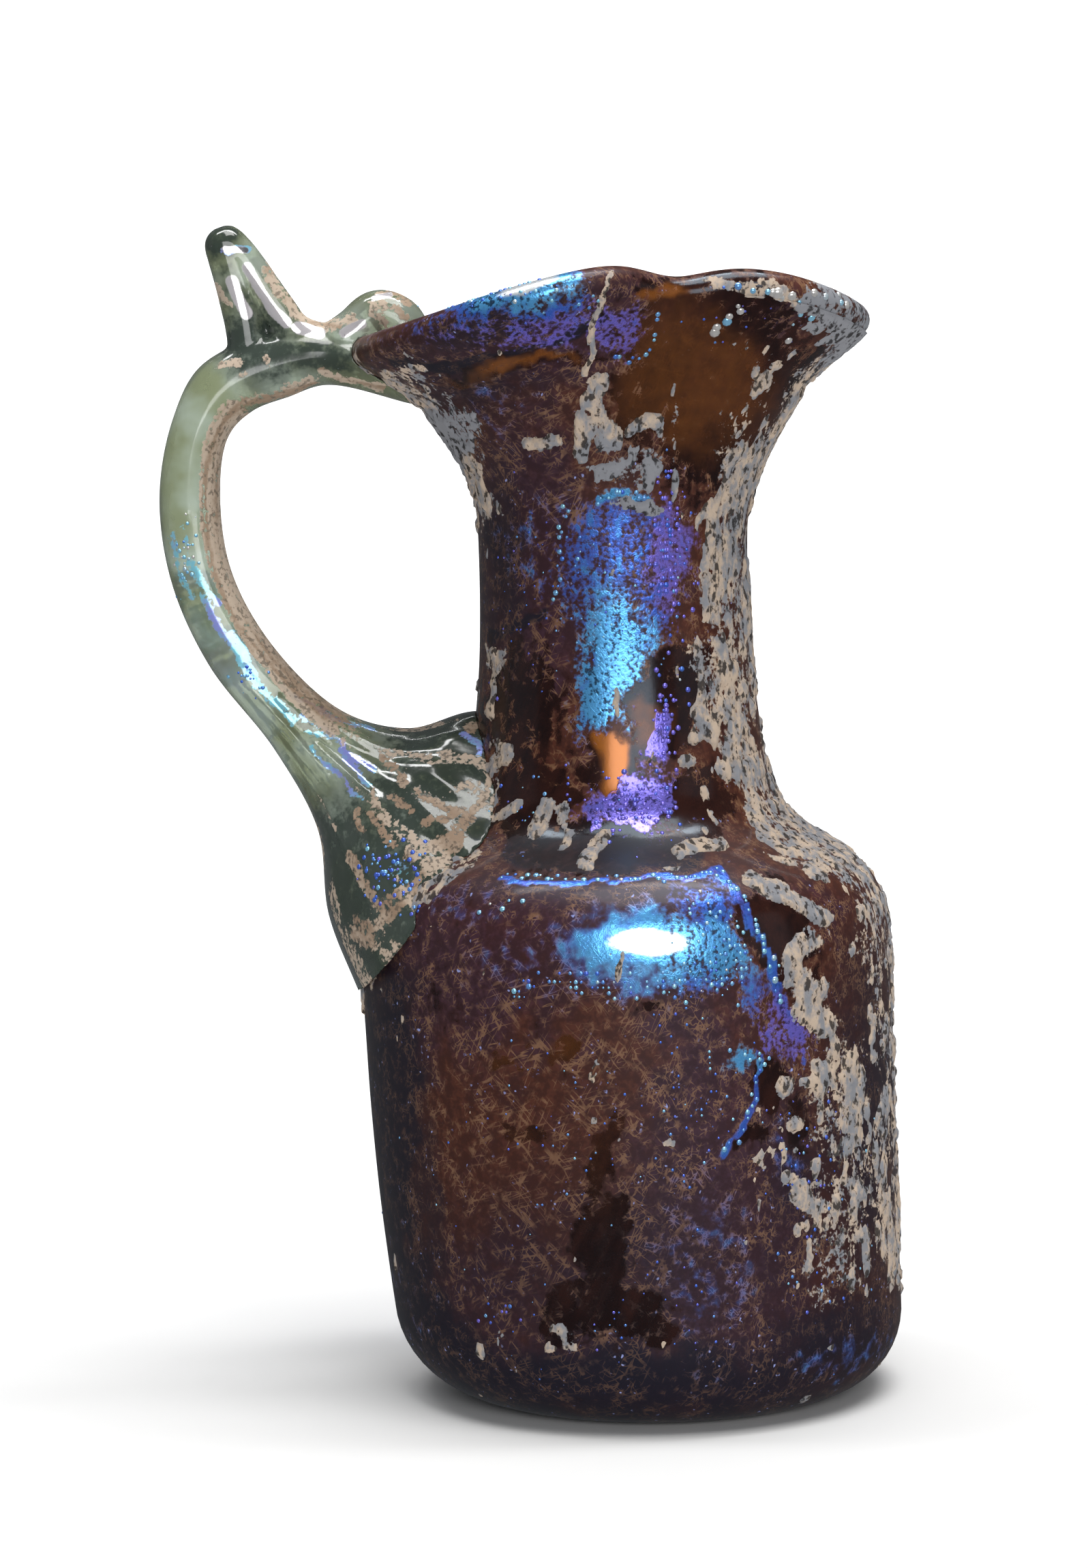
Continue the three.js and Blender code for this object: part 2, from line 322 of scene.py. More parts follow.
def patch(spots, centre, radii, turn, soft):
    """1 inside an ellipse of the photograph, falling to 0 across its soft edge."""
    offset = spots - centre
    cosine, sine = math.cos(math.radians(turn)), math.sin(math.radians(turn))
    across = (offset[..., 0] * cosine + offset[..., 1] * sine) / radii[0]
    along = (offset[..., 1] * cosine - offset[..., 0] * sine) / radii[1]
    return 1 - smooth_step(1 - soft, 1 + soft, np.hypot(across, along))


def stroke(spots, route, width, soft=0.5):
    """1 along a line through places of the photograph, falling to 0 at its sides."""
    nearest = np.full(spots.shape[:-1], np.inf)
    for start, end in zip(route, route[1:]):
        start = np.array(start, float)
        span = np.array(end, float) - start
        share = np.clip(((spots - start) @ span) / (span @ span), 0, 1)
        offset = spots - start - share[..., None] * span
        nearest = np.minimum(nearest, np.linalg.norm(offset, axis=-1))
    return 1 - smooth_step(1 - soft, 1 + soft, nearest / width)


# Weathering of the vessel, with its painted glow, painted shade and painted highlights, in pixels of the
# photograph. A patch is a centre and radii, and where it needs them a turn in degrees and a strength. A
# line is a route, a width and, if not 1, a strength.

BARE_PATCHES = (
    ((1050, 560), (150, 160), 0, 1.0), ((765, 1050), (70, 140), 0, 0.78),
    ((985, 1030), (55, 90), 15, 1.0), ((1145, 1370), (42, 90), -25, 1.0),
    ((890, 1845), (44, 110), 0, 1.0), ((772, 1663), (30, 18), 15, 0.8), ((880, 1720), (26, 50), 12, 0.75),
    ((893, 1655), (16, 30), 0, 0.7), ((880, 1240), (130, 40), 0, 1.0), ((1132, 1595), (24, 45), 0, 1.0),
    ((900, 1125), (60, 50), 0, 1.0), ((640, 1480), (50, 60), 0, 0.3), ((1000, 470), (60, 24), 0, 0.8),
    ((750, 540), (120, 17), -9, 0.9), ((1180, 1655), (20, 30), 0, 0.9), ((920, 1930), (84, 30), 10, 0.9),
    ((835, 1925), (34, 40), 0, 0.85), ((1110, 1670), (20, 14), -20, 0.8),
    ((740, 1553), (50, 12), -4, 0.7), ((825, 1545), (22, 34), 20, 0.7), ((965, 1470), (30, 14), 10, 0.8),
    ((780, 1170), (70, 60), 0, 1.0), ((1020, 1190), (60, 50), 0, 1.0),
)
FILM_PATCHES = (
    ((912, 850), (90, 130), 0, 0.58), ((895, 985), (54, 116), 8, 1.0), ((978, 800), (34, 120), 6, 0.58),
    ((858, 980), (24, 150), 0, 0.6), ((790, 800), (70, 110), 0, 0.26), ((752, 424), (95, 26), -14, 1.0),
    ((690, 455), (170, 46), -16, 0.32), ((810, 470), (70, 50), -14, 0.5), ((918, 490), (46, 38), 0, 0.85),
    ((932, 1180), (72, 52), 0, 1.0), ((972, 1080), (20, 52), 0, 0.95), ((910, 1225), (50, 26), 0, 0.8),
    ((945, 1384), (110, 34), 3, 0.95), ((970, 1398), (190, 66), 0, 0.6),
    ((900, 1400), (240, 70), 0, 0.34), ((1045, 1385), (50, 80), 28, 0.85),
    ((1110, 1430), (40, 60), -10, 0.5), ((1040, 1850), (80, 180), 0, 0.3),
    ((1160, 1510), (34, 38), 0, 0.52), ((1108, 1548), (46, 20), 0, 0.6),
    ((1160, 1690), (48, 70), 0, 0.36), ((600, 1900), (40, 150), -10, 0.2),
    ((1240, 1985), (80, 34), -20, 0.34), ((862, 1215), (14, 44), 14, 0.9),
    ((836, 1185), (18, 30), 0, 0.7), ((970, 690), (10, 90), -6, 0.5), ((1130, 450), (60, 16), 15, 0.4),
    ((720, 600), (90, 50), 0, 0.26), ((1050, 1340), (70, 40), 35, 0.55),
    ((700, 1320), (90, 26), -20, 0.3), ((1000, 1900), (60, 70), 0, 0.22),
)
GRIT_PATCHES = (
    ((900, 930), (150, 240)), ((932, 1180), (130, 90)), ((918, 490), (60, 60)), ((750, 450), (200, 80)),
    ((1140, 1520), (90, 70)), ((1045, 1390), (80, 90)),
)
FILM_LINES = (
    (((735, 1287), (820, 1296), (940, 1288), (1060, 1280)), 4),
    (((1060, 1280), (1095, 1330), (1130, 1400), (1148, 1470), (1170, 1520)), 8),
    (((1122, 1550), (1112, 1590), (1106, 1625), (1090, 1660), (1062, 1690)), 4),
    (((880, 735), (905, 722), (945, 730)), 5),
)
VIOLET_PATCHES = (
    ((918, 490), (70, 64)), ((930, 1180), (110, 85)), ((972, 1075), (34, 60)), ((985, 810), (36, 110)),
    ((1160, 1510), (40, 42)), ((860, 1220), (26, 50)), ((970, 700), (24, 90)), ((760, 500), (160, 40)),
)
# Cyan hue of the film; the patches on the lip and round the shoulder's highlight are painted sheen around
# the light's reflection
CYAN_FILM_AND_SHEEN_PATCHES = (
    ((895, 985), (66, 130)), ((770, 425), (95, 34)), ((970, 1395), (150, 50)), ((915, 727), (50, 20)),
    ((1108, 1548), (60, 30)),
)
# Painted highlight: the white cores of the light's reflection on the shoulder and on the lip, painted
# into the film colour
PAINTED_HIGHLIGHT_PATCHES = (
    ((950, 1382), (56, 18), 3, 1.0), ((776, 420), (44, 9), -16, 0.75),
)
PLUM_PATCHES = (
    ((650, 1420), (170, 120), 0, 0.7), ((1060, 1830), (110, 240), 0, 0.9),
    ((1030, 1580), (70, 160), 0, 0.6), ((900, 2000), (340, 60), 0, 0.7), ((770, 820), (80, 170), 0, 1.0),
    ((760, 500), (190, 60), -14, 0.9), ((900, 1330), (260, 60), 0, 0.7), ((1134, 470), (40, 26), 0, 1.0),
    ((720, 1900), (120, 90), 0, 0.5),
)
# Painted glow: light shining through the amber glass, painted as bright orange colour under the lip, on
# the neck and on the body
PAINTED_GLOW_PATCHES = (
    ((905, 1122), (32, 50), 0, 1.2), ((760, 1550), (80, 40), 10, 0.32), ((840, 1535), (50, 40), 0, 0.34),
    ((965, 442), (70, 10), -3, 0.6), ((690, 556), (100, 12), -8, 0.3), ((800, 1620), (220, 230), 0, 0.22),
    ((1010, 560), (130, 120), 20, 0.36), ((770, 536), (85, 12), -9, 0.5), ((890, 1360), (60, 60), 0, 0.1),
    ((960, 1060), (30, 30), 0, 0.4),
)
CRUST_LINES = (
    (((1050, 416), (1105, 423), (1150, 430), (1205, 448)), 12, 0.8),
    (((1215, 430), (1262, 470), (1235, 520)), 30, 0.74),
    (((1215, 530), (1150, 610), (1100, 720)), 38, 0.62),
    (((1130, 520), (1090, 600), (1060, 680)), 22, 0.46),
    (((1085, 690), (1062, 800), (1066, 900)), 36, 0.72),
    (((1050, 960), (1058, 1050), (1075, 1120)), 38, 0.66),
    (((1090, 1100), (1130, 1195), (1240, 1265)), 36, 0.7),
    (((1200, 1250), (1270, 1300), (1300, 1400)), 34, 0.6),
    (((1190, 1370), (1170, 1430), (1215, 1500)), 22, 0.75),
    (((1275, 1400), (1300, 1560), (1312, 1880)), 22, 0.6),
    (((1230, 1560), (1245, 1700), (1210, 1880)), 46, 0.56),
    (((1175, 1740), (1230, 1800), (1250, 1870)), 24, 0.66), (((868, 560), (876, 600)), 19, 1.0),
    (((580, 566), (660, 645), (704, 750)), 28, 0.74), (((722, 960), (722, 1030)), 9, 0.8),
    (((825, 1195), (828, 1225)), 10, 0.95),
    (((735, 1090), (700, 1205), (600, 1338), (548, 1388)), 11, 0.85),
    (((533, 1400), (530, 1480)), 7, 0.8), (((985, 560), (978, 640), (985, 715)), 6, 0.6),
    (((700, 1240), (640, 1318)), 9, 0.75), (((520, 520), (535, 545)), 10, 0.6),
)
SHARP_LINES = (
    (((893, 398), (878, 460), (856, 545)), 4, 1.2), (((770, 650), (812, 648)), 8, 1.1),
    (((1100, 1285), (1150, 1315), (1212, 1348)), 11, 1.1), (((782, 1215), (805, 1180)), 12, 1.1),
    (((862, 1262), (885, 1228)), 11, 1.1), (((995, 1250), (1062, 1238)), 10, 1.0),
    (((850, 610), (846, 660)), 7, 1.0), (((700, 1215), (760, 1180)), 9, 0.9),
)
NODULES = (
    ((1143, 428), (15, 12)), ((1098, 424), (12, 11)), ((1195, 436), (14, 12)), ((1228, 440), (11, 10)),
    ((1215, 462), (12, 12)), ((1152, 1600), (13, 18)), ((1178, 1760), (18, 15)), ((1010, 1120), (13, 12)),
    ((1020, 1080), (10, 10)), ((1185, 1590), (18, 9)), ((1066, 420), (10, 8)), ((1170, 1650), (12, 12)),
)
CRUST_PATCHES = (
    ((1095, 880), (46, 260), 0, 0.66), ((1180, 610), (56, 120), 40, 0.58),
    ((1240, 480), (50, 70), 0, 0.6), ((700, 720), (26, 110), 0, 0.52), ((640, 612), (100, 42), 45, 0.72),
    ((1190, 1220), (110, 50), 25, 0.6), ((862, 642), (20, 22), 0, 0.95), ((906, 628), (17, 22), 0, 1.0),
    ((946, 625), (16, 16), 0, 1.0), ((915, 682), (46, 28), 0, 0.72), ((930, 747), (42, 17), 0, 0.85),
    ((1250, 1690), (34, 110), 0, 0.66), ((1190, 1470), (26, 40), 20, 0.72),
    ((600, 600), (50, 40), 40, 0.5), ((835, 1960), (16, 14), 0, 0.7), ((1290, 1760), (24, 110), 0, 0.6),
)
GREY_PATCHES = (
    ((915, 682), (60, 40)), ((1235, 480), (70, 60)), ((930, 747), (60, 26)), ((660, 640), (50, 40)),
)
# Painted shade: darker, bluer glass along the silhouettes, at the bottom and under the lip
PAINTED_SHADE_PATCHES = (
    ((566, 1740), (50, 330), 0, 1.1), ((590, 1900), (50, 130), -8, 1.0),
    ((630, 1760), (18, 250), -3, 0.55), ((880, 2030), (420, 62), 0, 0.9),
    ((1230, 1960), (110, 70), -20, 0.8), ((740, 820), (40, 160), 0, 0.6),
    ((700, 560), (110, 60), -10, 0.5), ((1180, 1720), (70, 120), 0, 0.6),
    ((800, 1330), (180, 40), 0, 0.25), ((640, 1960), (120, 60), 30, 0.9),
    ((1150, 1850), (60, 140), 0, 0.4), ((720, 470), (150, 40), -16, 0.6),
    ((860, 1860), (330, 180), 0, 0.42), ((1270, 1650), (70, 300), 0, 0.7),
)
# Painted shade and shadow: a line under the rolled lip, one on the neck and one in the hollow at the
# neck's root
PAINTED_SHADE_LINES = (
    (((574, 532), (653, 540), (760, 520), (890, 470)), 7), (((720, 935), (760, 915), (800, 905)), 5),
    (((760, 1246), (880, 1256), (1010, 1250)), 22),
)

# Noise that breaks up the weathering and the painted light, as size in millimetres, seed, octaves and
# gain
RAGGED_NOISES = ((3.2, 11, 3, 2.2), (3.2, 23, 3, 2.2))
BROAD_NOISE = (22, 31)
MIDDLE_NOISE = (7, 41)
FILM_BACK_NOISE = (9, 53, 4, 1.7)
HUE_BACK_NOISE = (12, 67, 4, 1.3)
CRUST_BACK_NOISE = (18, 71)

# How many pixels noise moves the edges of patches, and the share of that which sharp forms take
VESSEL_RAGGED = 32
HANDLE_RAGGED = 16
SHARP_SHARE = 0.3

# Where the seen side passes into the hidden one, and where the crusted spout side begins
FRONT_EDGE = (-0.36, -0.04)
FRONT_MOTTLE = 0.3
SPOUT_EDGE = (-2, 20)
SPOUT_WEDGE = 0.25
SPOUT_FOOT = (8, 24)

# Weathering, painted glow and painted shade inside the vessel, the same all over
INSIDE_LOOK = {
    "haze": 0.6, "film": 0.1, "hue": 0.4, "crust": 0.12, "grey": 0.5,
    "painted_glow": 0.1, "painted_shade_and_dark_haze": 0.2, "grit": 0.5, "plum": 0.3, "painted_highlight": 0,
}


def painted(spots, patches, soft=0.55):
    total = np.zeros(spots.shape[:-1])
    for centre, radii, turn, strength in patches:
        total = np.maximum(total, strength * patch(spots, centre, radii, turn, soft))
    return total


def plain_mask(spots, patches):
    return painted(spots, [(centre, radii, 0, 1) for centre, radii in patches])


def drawn(spots, lines, soft=0.5):
    """The strongest of several strokes."""
    total = np.zeros(spots.shape[:-1])
    for route, width, *strength in lines:
        total = np.maximum(total, math.prod(strength) * stroke(spots, route, width, soft))
    return total


def mottled(level, *noises):
    """A level from 0 to 1, moved by noises around their middle, each with its weight."""
    for noise, weight in noises:
        level = level + weight * (noise - 0.5)
    return np.clip(level, 0, 1)


def weathering_and_painted_light(points, normals):
    """Fields over the vessel, weathering with painted glow, shade and highlights: painted from the
    photograph on the seen side, noise on the hidden one.
    """
    to_camera = CAMERA_PLACE - points
    to_camera /= np.linalg.norm(to_camera, axis=-1, keepdims=True)
    ragged = np.stack([cloud(points, *noise) for noise in RAGGED_NOISES], -1) - 0.5
    seen_at = pixels(points)
    spots = seen_at + VESSEL_RAGGED * ragged
    sharp = seen_at + VESSEL_RAGGED * SHARP_SHARE * ragged
    broad = cloud(points, *BROAD_NOISE)
    middle = cloud(points, *MIDDLE_NOISE)
    facing = (normals * to_camera).sum(-1)
    front = smooth_step(*FRONT_EDGE, facing + FRONT_MOTTLE * (middle - 0.5))
    spout_side = smooth_step(*SPOUT_EDGE, points[..., 0] - SPOUT_WEDGE * np.abs(points[..., 1]))

    def blend(seen, hidden):
        return hidden + (seen - hidden) * front

    bare = painted(spots, BARE_PATCHES)
    haze = mottled(0.8, (middle, 0.7))
    haze_back = mottled(0.75, (broad, 1.2), (middle, 0.8))

    # Bare glass thins all but the strongest film
    film = np.maximum(painted(spots, FILM_PATCHES), drawn(sharp, FILM_LINES))
    film *= 1 - 0.9 * bare * (film < 0.9)
    film_back = 0.62 * smooth_step(0.54, 0.8, cloud(points * CRUST_STRETCH, *FILM_BACK_NOISE))
    violet = plain_mask(spots, VIOLET_PATCHES)
    cyan = plain_mask(spots, CYAN_FILM_AND_SHEEN_PATCHES)
    hue = np.clip(0.5 - 0.5 * violet + 0.45 * cyan * (1 - violet), 0, 1)
    hue_back = 0.1 + 0.8 * smooth_step(0.3, 0.75, cloud(points, *HUE_BACK_NOISE))

    crust = np.maximum(painted(spots, CRUST_PATCHES), 1.1 * plain_mask(sharp, NODULES))
    crust = np.maximum(crust, drawn(spots, CRUST_LINES))
    crust = np.maximum(crust, drawn(sharp, SHARP_LINES))
    side = spout_side * smooth_step(*SPOUT_FOOT, points[..., 2]) * smooth_step(0.36, 0.62, broad)
    crust = np.maximum(crust, 0.42 * side)
    crust_back = 0.7 * smooth_step(0.55, 0.72, cloud(points, *CRUST_BACK_NOISE))
    crust_back = np.maximum(0.75 * side, crust_back)
    grey = blend(plain_mask(spots, GREY_PATCHES), 0)
    painted_shade_and_dark_haze = np.maximum(painted(spots, PAINTED_SHADE_PATCHES, 0.9), 1.2 * drawn(sharp, PAINTED_SHADE_LINES))
    # Among these fields are a painted glow, painted shade and a painted highlight, besides the weathering
    return {
        "haze": blend(haze * (1 - bare), haze_back),
        "film": blend(film, film_back),
        "hue": blend(hue, hue_back),
        "crust": blend(crust, crust_back),
        "grey": mottled(grey, (middle, 0.7)),
        "painted_glow": blend(painted(spots, PAINTED_GLOW_PATCHES), 0.3 * broad),
        "painted_shade_and_dark_haze": blend(painted_shade_and_dark_haze, 0.6 * broad),
        "plum": blend(painted(spots, PLUM_PATCHES, 0.9), broad),
        "painted_highlight": blend(painted(sharp, PAINTED_HIGHLIGHT_PATCHES), 0),
        "grit": blend(plain_mask(spots, GRIT_PATCHES), 0.6),
    }


# Meshes


def grid_faces(rows, sides):
    row, side = np.meshgrid(np.arange(rows - 1), np.arange(sides), indexing="ij")
    near = row * sides + side
    far = row * sides + (side + 1) % sides
    return np.stack([near, far, far + sides, near + sides], -1).reshape(-1, 4)


def add_fields(mesh, fields):
    for field, values in fields.items():
        layer = mesh.attributes.new(field, "FLOAT", "POINT")
        layer.data.foreach_set("value", np.asarray(values, np.float32).ravel())


def mesh_values(mesh, name):
    values = np.empty(len(mesh.vertices) * 3, np.float32)
    mesh.vertices.foreach_get(name, values)
    return values.reshape(-1, 3).astype(float)


def make_object(name, points, faces, fields=None):
    mesh = bpy.data.meshes.new(name)
    mesh.from_pydata((np.asarray(points) * MM).tolist(), [], [list(face) for face in faces])
    mesh.update()
    add_fields(mesh, fields or {})
    mesh.shade_smooth()
    made = bpy.data.objects.new(name, mesh)
    bpy.context.scene.collection.objects.link(made)
    return made


def vessel_rows(angle, growth=0):
    outside, inside = glass_sections(angle, 1, growth)
    lip = lip_arc(outside[-1], inside[-1])
    return stand_up(outside, angle), stand_up(lip, angle), stand_up(inside[::-INSIDE_STEP], angle)


def make_vessel():
    angle = ring_angles(SIDES)
    outside, lip, inside = vessel_rows(angle)
    skin = np.concatenate([outside, lip])
    normals = grid_normals(skin)
    fields = weathering_and_painted_light(skin, normals)
    skin = uneven(skin, normals)
    points = np.concatenate([skin, inside])
    for field, values in fields.items():
        hidden = INSIDE_LOOK[field]
        filler = np.full(inside.shape[0] * SIDES, hidden)
        fields[field] = np.concatenate([values.ravel(), filler, [values[0].mean(), hidden]])
    rows = len(points)
    faces = grid_faces(rows, SIDES).tolist()
    base = rows * SIDES
    floor = base + 1
    last = (rows - 1) * SIDES
    for side in range(SIDES):
        after = (side + 1) % SIDES
        faces.append([base, after, side])
        faces.append([floor, last + side, last + after])
    ends = [points[0].mean(0), points[-1].mean(0)]
    return make_object("vessel_glass", np.concatenate([points.reshape(-1, 3), ends]), faces, fields)


def make_crust():
    """Raised burial crust: a relief over the glass, kept where it stands proud, with a thickness."""
    sides = finer(SIDES, CRUST_FINENESS)
    angle = ring_angles(sides)
    outside, _ = glass_sections(angle, CRUST_FINENESS, 0)
    points = stand_up(outside, angle)
    normals = grid_normals(points)
    fields = weathering_and_painted_light(points, normals)
    points = uneven(points, normals)
    upright = points * CRUST_STRETCH
    lumps = cloud(upright, *LUMP_NOISE)
    gaps = cloud(upright, *GAP_NOISE)
    grain = lattice_noise(points, *GRAIN_NOISE)
    level = fields["crust"] + LUMP_WEIGHT * (lumps - 0.5) + GAP_WEIGHT * (gaps - 0.5)
    height = CRUST_RELIEF * (level - CRUST_LEVEL) / CRUST_RAMP
    height = np.minimum(height, CRUST_RELIEF * (0.5 + 0.5 * grain))
    faces = grid_faces(len(points), sides)
    proud = height.ravel() > CRUST_SINK
    faces = faces[proud[faces].any(1)]
    used, faces = np.unique(faces, return_inverse=True)
    faces = faces.reshape(-1, 4)
    top = (points + normals * np.maximum(height, CRUST_ROOT / 2)[..., None]).reshape(-1, 3)[used]
    under = (points + normals * CRUST_ROOT).reshape(-1, 3)[used]
    count = len(used)
    edges = np.concatenate([faces[:, [i, (i + 1) % 4]] for i in range(4)])
    known = set(map(tuple, edges.tolist()))
    rim = [edge for edge in known if edge[::-1] not in known]
    walls = [[end, start, start + count, end + count] for start, end in sorted(rim)]
    shell = faces.tolist() + (faces[:, ::-1] + count).tolist() + walls
    grey = np.tile(fields["grey"].ravel()[used], 2)
    return make_object("burial_crust", np.concatenate([top, under]), shell, {"grey": grey})


def catmull(points, share):
    """Centripetal curve through points, at each share from 0 to 1."""
    points = np.array(points, float)
    padded = np.concatenate([[2 * points[0] - points[1]], points, [2 * points[-1] - points[-2]]])
    place = np.clip(share, 0, 1) * (len(points) - 1)
    cell = np.minimum(place.astype(int), len(points) - 2)
    w = (place - cell)[:, None]
    p0, p1, p2, p3 = (padded[cell + i] for i in range(4))
    spans = (p1 - p0, p2 - p1, p3 - p2)
    d0, d1, d2 = (np.sqrt(np.linalg.norm(span, axis=1))[:, None] for span in spans)
    t1 = d1 * ((p1 - p0) / d0 - (p2 - p0) / (d0 + d1) + (p2 - p1) / d1)
    t2 = d1 * ((p2 - p1) / d1 - (p3 - p1) / (d1 + d2) + (p3 - p2) / d2)
    return p1 + t1 * w + (3 * (p2 - p1) - 2 * t1 - t2) * w ** 2 + (2 * (p1 - p2) + t1 + t2) * w ** 3


def closed_loft(rings):
    rows, sides = rings.shape[:2]
    faces = grid_faces(rows, sides).tolist()
    faces.append(list(range(sides))[::-1])
    faces.append([(rows - 1) * sides + side for side in range(sides)])
    return rings.reshape(-1, 3), faces


def strap_edges(share):
    outer = catmull([station[0] for station in STRAP_STATIONS], share)
    inner = catmull([station[1] for station in STRAP_STATIONS], share)
    return outer, inner


def lanes(along, across, seed):
    """Streaks that run with the drawn glass of the strap and spread over its root."""
    place = np.stack([along * LANES_ALONG, across * LANES_ACROSS, np.zeros_like(along)], -1)
    return cloud(place, 1, seed, 2, 2)


def strap_loft():
    share = np.linspace(0, 1, STRAP_ROWS)
    outer, inner = strap_edges(share)
    depth, pear = catmull([station[2:] for station in STRAP_STATIONS], share).T[:, :, None]
    turn = ring_angles(STRAP_SIDES)
    across = np.cos(turn)
    middle = outer[:, None] + (inner - outer)[:, None] * ((1 + across) / 2)[None, :, None]
    deep = depth * np.sin(turn) * (1 - pear * across)
    ridged = ROOT_RIDGES * smooth_step(*RIDGE_SPAN, share)[:, None] * np.abs(np.sin(turn))
    along, over = np.meshgrid(share, (1 + across) / 2, indexing="ij")
    deep = deep + np.sign(deep) * ridged * (lanes(along, over, RIDGE_SEED) - 0.5)
    return closed_loft(np.stack([middle[..., 0], deep, middle[..., 1]], -1))


def strand_loft(path, radius):
    """A round strand along a path, with rows drawn together at its rounded ends."""
    fine = catmull(path, np.linspace(0, 1, STRAND_SAMPLES))
    run = np.concatenate([[0], np.cumsum(np.linalg.norm(np.diff(fine, axis=0), axis=1))])
    share = (1 - np.cos(np.linspace(STRAND_END, math.pi - STRAND_END, STRAND_ROWS))) / 2
    centre = np.stack([np.interp(share * run[-1], run, fine[:, i]) for i in range(2)], 1)
    onward = np.gradient(centre, axis=0)
    onward /= np.linalg.norm(onward, axis=1, keepdims=True)
    to_end = run[-1] * np.minimum(share, 1 - share)
    girth = radius * np.sqrt(1 - np.maximum(1 - to_end / radius, 0) ** 2)
    turn = ring_angles(STRAND_SIDES)
    out = girth[:, None] * np.cos(turn)
    x = centre[:, :1] - onward[:, 1:] * out
    z = centre[:, 1:] + onward[:, :1] * out
    return closed_loft(np.stack([x, girth[:, None] * np.sin(turn), z], -1))


def apply_modifiers(made):
    graph = bpy.context.evaluated_depsgraph_get()
    mesh = bpy.data.meshes.new_from_object(made.evaluated_get(graph))
    made.modifiers.clear()
    made.data = mesh


def make_cutter():
    """The vessel's outside with a little room, from the base to inside the lip."""
    angle = ring_angles(SIDES)
    outside, lip, inside = vessel_rows(angle, HANDLE_GAP)
    points = np.concatenate([outside[::2], lip, inside[: MOUTH_ROWS // (2 * INSIDE_STEP)]])
    points, faces = closed_loft(points)
    return make_object("handle_cutter", points, faces)


def make_handle():
    parts = [strap_loft()] + [strand_loft(path, radius) for path, radius in STRANDS]
    points = []
    faces = []
    start = 0
    for part_points, part_faces in parts:
        points.append(part_points)
        faces.extend([[start + corner for corner in face] for face in part_faces])
        start += len(part_points)
    made = make_object("handle_glass", np.concatenate(points), faces)
    remesh = made.modifiers.new("melt", "REMESH")
    remesh.mode = "VOXEL"
    remesh.voxel_size = HANDLE_VOXEL * MM
    smooth = made.modifiers.new("soften", "SMOOTH")
    smooth.factor = SOFTEN_FACTOR
    smooth.iterations = SOFTEN_ROUNDS
    apply_modifiers(made)
    cutter = make_cutter()
    cut = made.modifiers.new("seat", "BOOLEAN")
    cut.operation = "DIFFERENCE"
    cut.solver = "EXACT"
    cut.object = cutter
    apply_modifiers(made)
    bpy.data.objects.remove(cutter)
    add_fields(made.data, handle_weathering_and_painted_light(mesh_values(made.data, "co") / MM))
    made.data.shade_smooth()
    return made


# Weathering of the handle, with painted highlights, glints and shade, in pixels of the photograph, as for
# the vessel

# Film streaks on the strap and web; a few lines are painted highlights and glints: the glint at the top
# of the thumb rest, the violet-white marks at the top of the web and the line along the web's upper edge
STRAP_FILM_AND_PAINTED_GLINTS = (
    (((252, 785), (264, 840), (282, 880)), 6, 0.6), (((268, 770), (280, 830), (302, 890)), 4, 0.6),
    (((298, 880), (326, 925)), 6, 0.9), (((284, 826), (300, 858), (318, 884)), 5, 0.9),
    (((335, 930), (356, 962), (370, 992)), 10, 0.9), (((366, 985), (392, 1020), (432, 1058)), 7, 0.75),
    (((412, 1005), (440, 1027)), 4, 0.8), (((502, 1100), (547, 1127)), 6, 0.9),
    (((508, 1116), (540, 1150)), 5, 0.9), (((456, 1098), (494, 1135), (528, 1172)), 4, 0.8),
    (((451, 1074), (507, 1090)), 5, 0.7), (((440, 1050), (500, 1085)), 3, 0.8),
    (((329, 365), (364, 365)), 6, 0.9), (((681, 1078), (702, 1090), (700, 1102)), 6, 0.8),
    (((575, 1285), (590, 1275)), 14, 0.36), (((440, 1025), (494, 1057), (552, 1074)), 4, 0.8),
)
WEB_STRIPS = (
    (((566, 1114), (595, 1146)), 9), (((574, 1167), (603, 1186)), 8),
    (((611, 1159), (643, 1181), (676, 1191)), 8), (((547, 1165), (560, 1191), (566, 1205)), 7),
    (((523, 1191), (531, 1218)), 6), (((542, 1191), (558, 1218), (579, 1240)), 7),
    (((512, 1252), (528, 1288), (558, 1328), (569, 1347)), 9),
    (((569, 1320), (601, 1301), (628, 1276)), 8),
    (((606, 1250), (644, 1245), (670, 1224), (681, 1208)), 13), (((625, 1208), (668, 1194)), 8),
    (((526, 1350), (547, 1363), (574, 1341), (606, 1309)), 9),
    (((719, 1108), (724, 1127), (711, 1170), (692, 1190)), 8), (((520, 1370), (545, 1380)), 14),
    (((640, 1270), (668, 1240), (690, 1200)), 10), (((690, 1068), (706, 1062)), 8),
)
TAN_STRIPS = (
    (((556, 432), (580, 428), (600, 445)), 6), (((545, 455), (562, 474)), 6),
    (((548, 445), (575, 448), (596, 468)), 7), (((525, 500), (560, 520)), 6),
    (((470, 545), (520, 560), (560, 570)), 6), (((392, 396), (432, 462), (478, 479), (520, 470)), 9),
    (((358, 591), (421, 577), (458, 560)), 9), (((325, 535), (348, 530)), 8),
    (((352, 552), (360, 548)), 5), (((390, 520), (397, 540)), 5), (((316, 420), (335, 450)), 5),
)
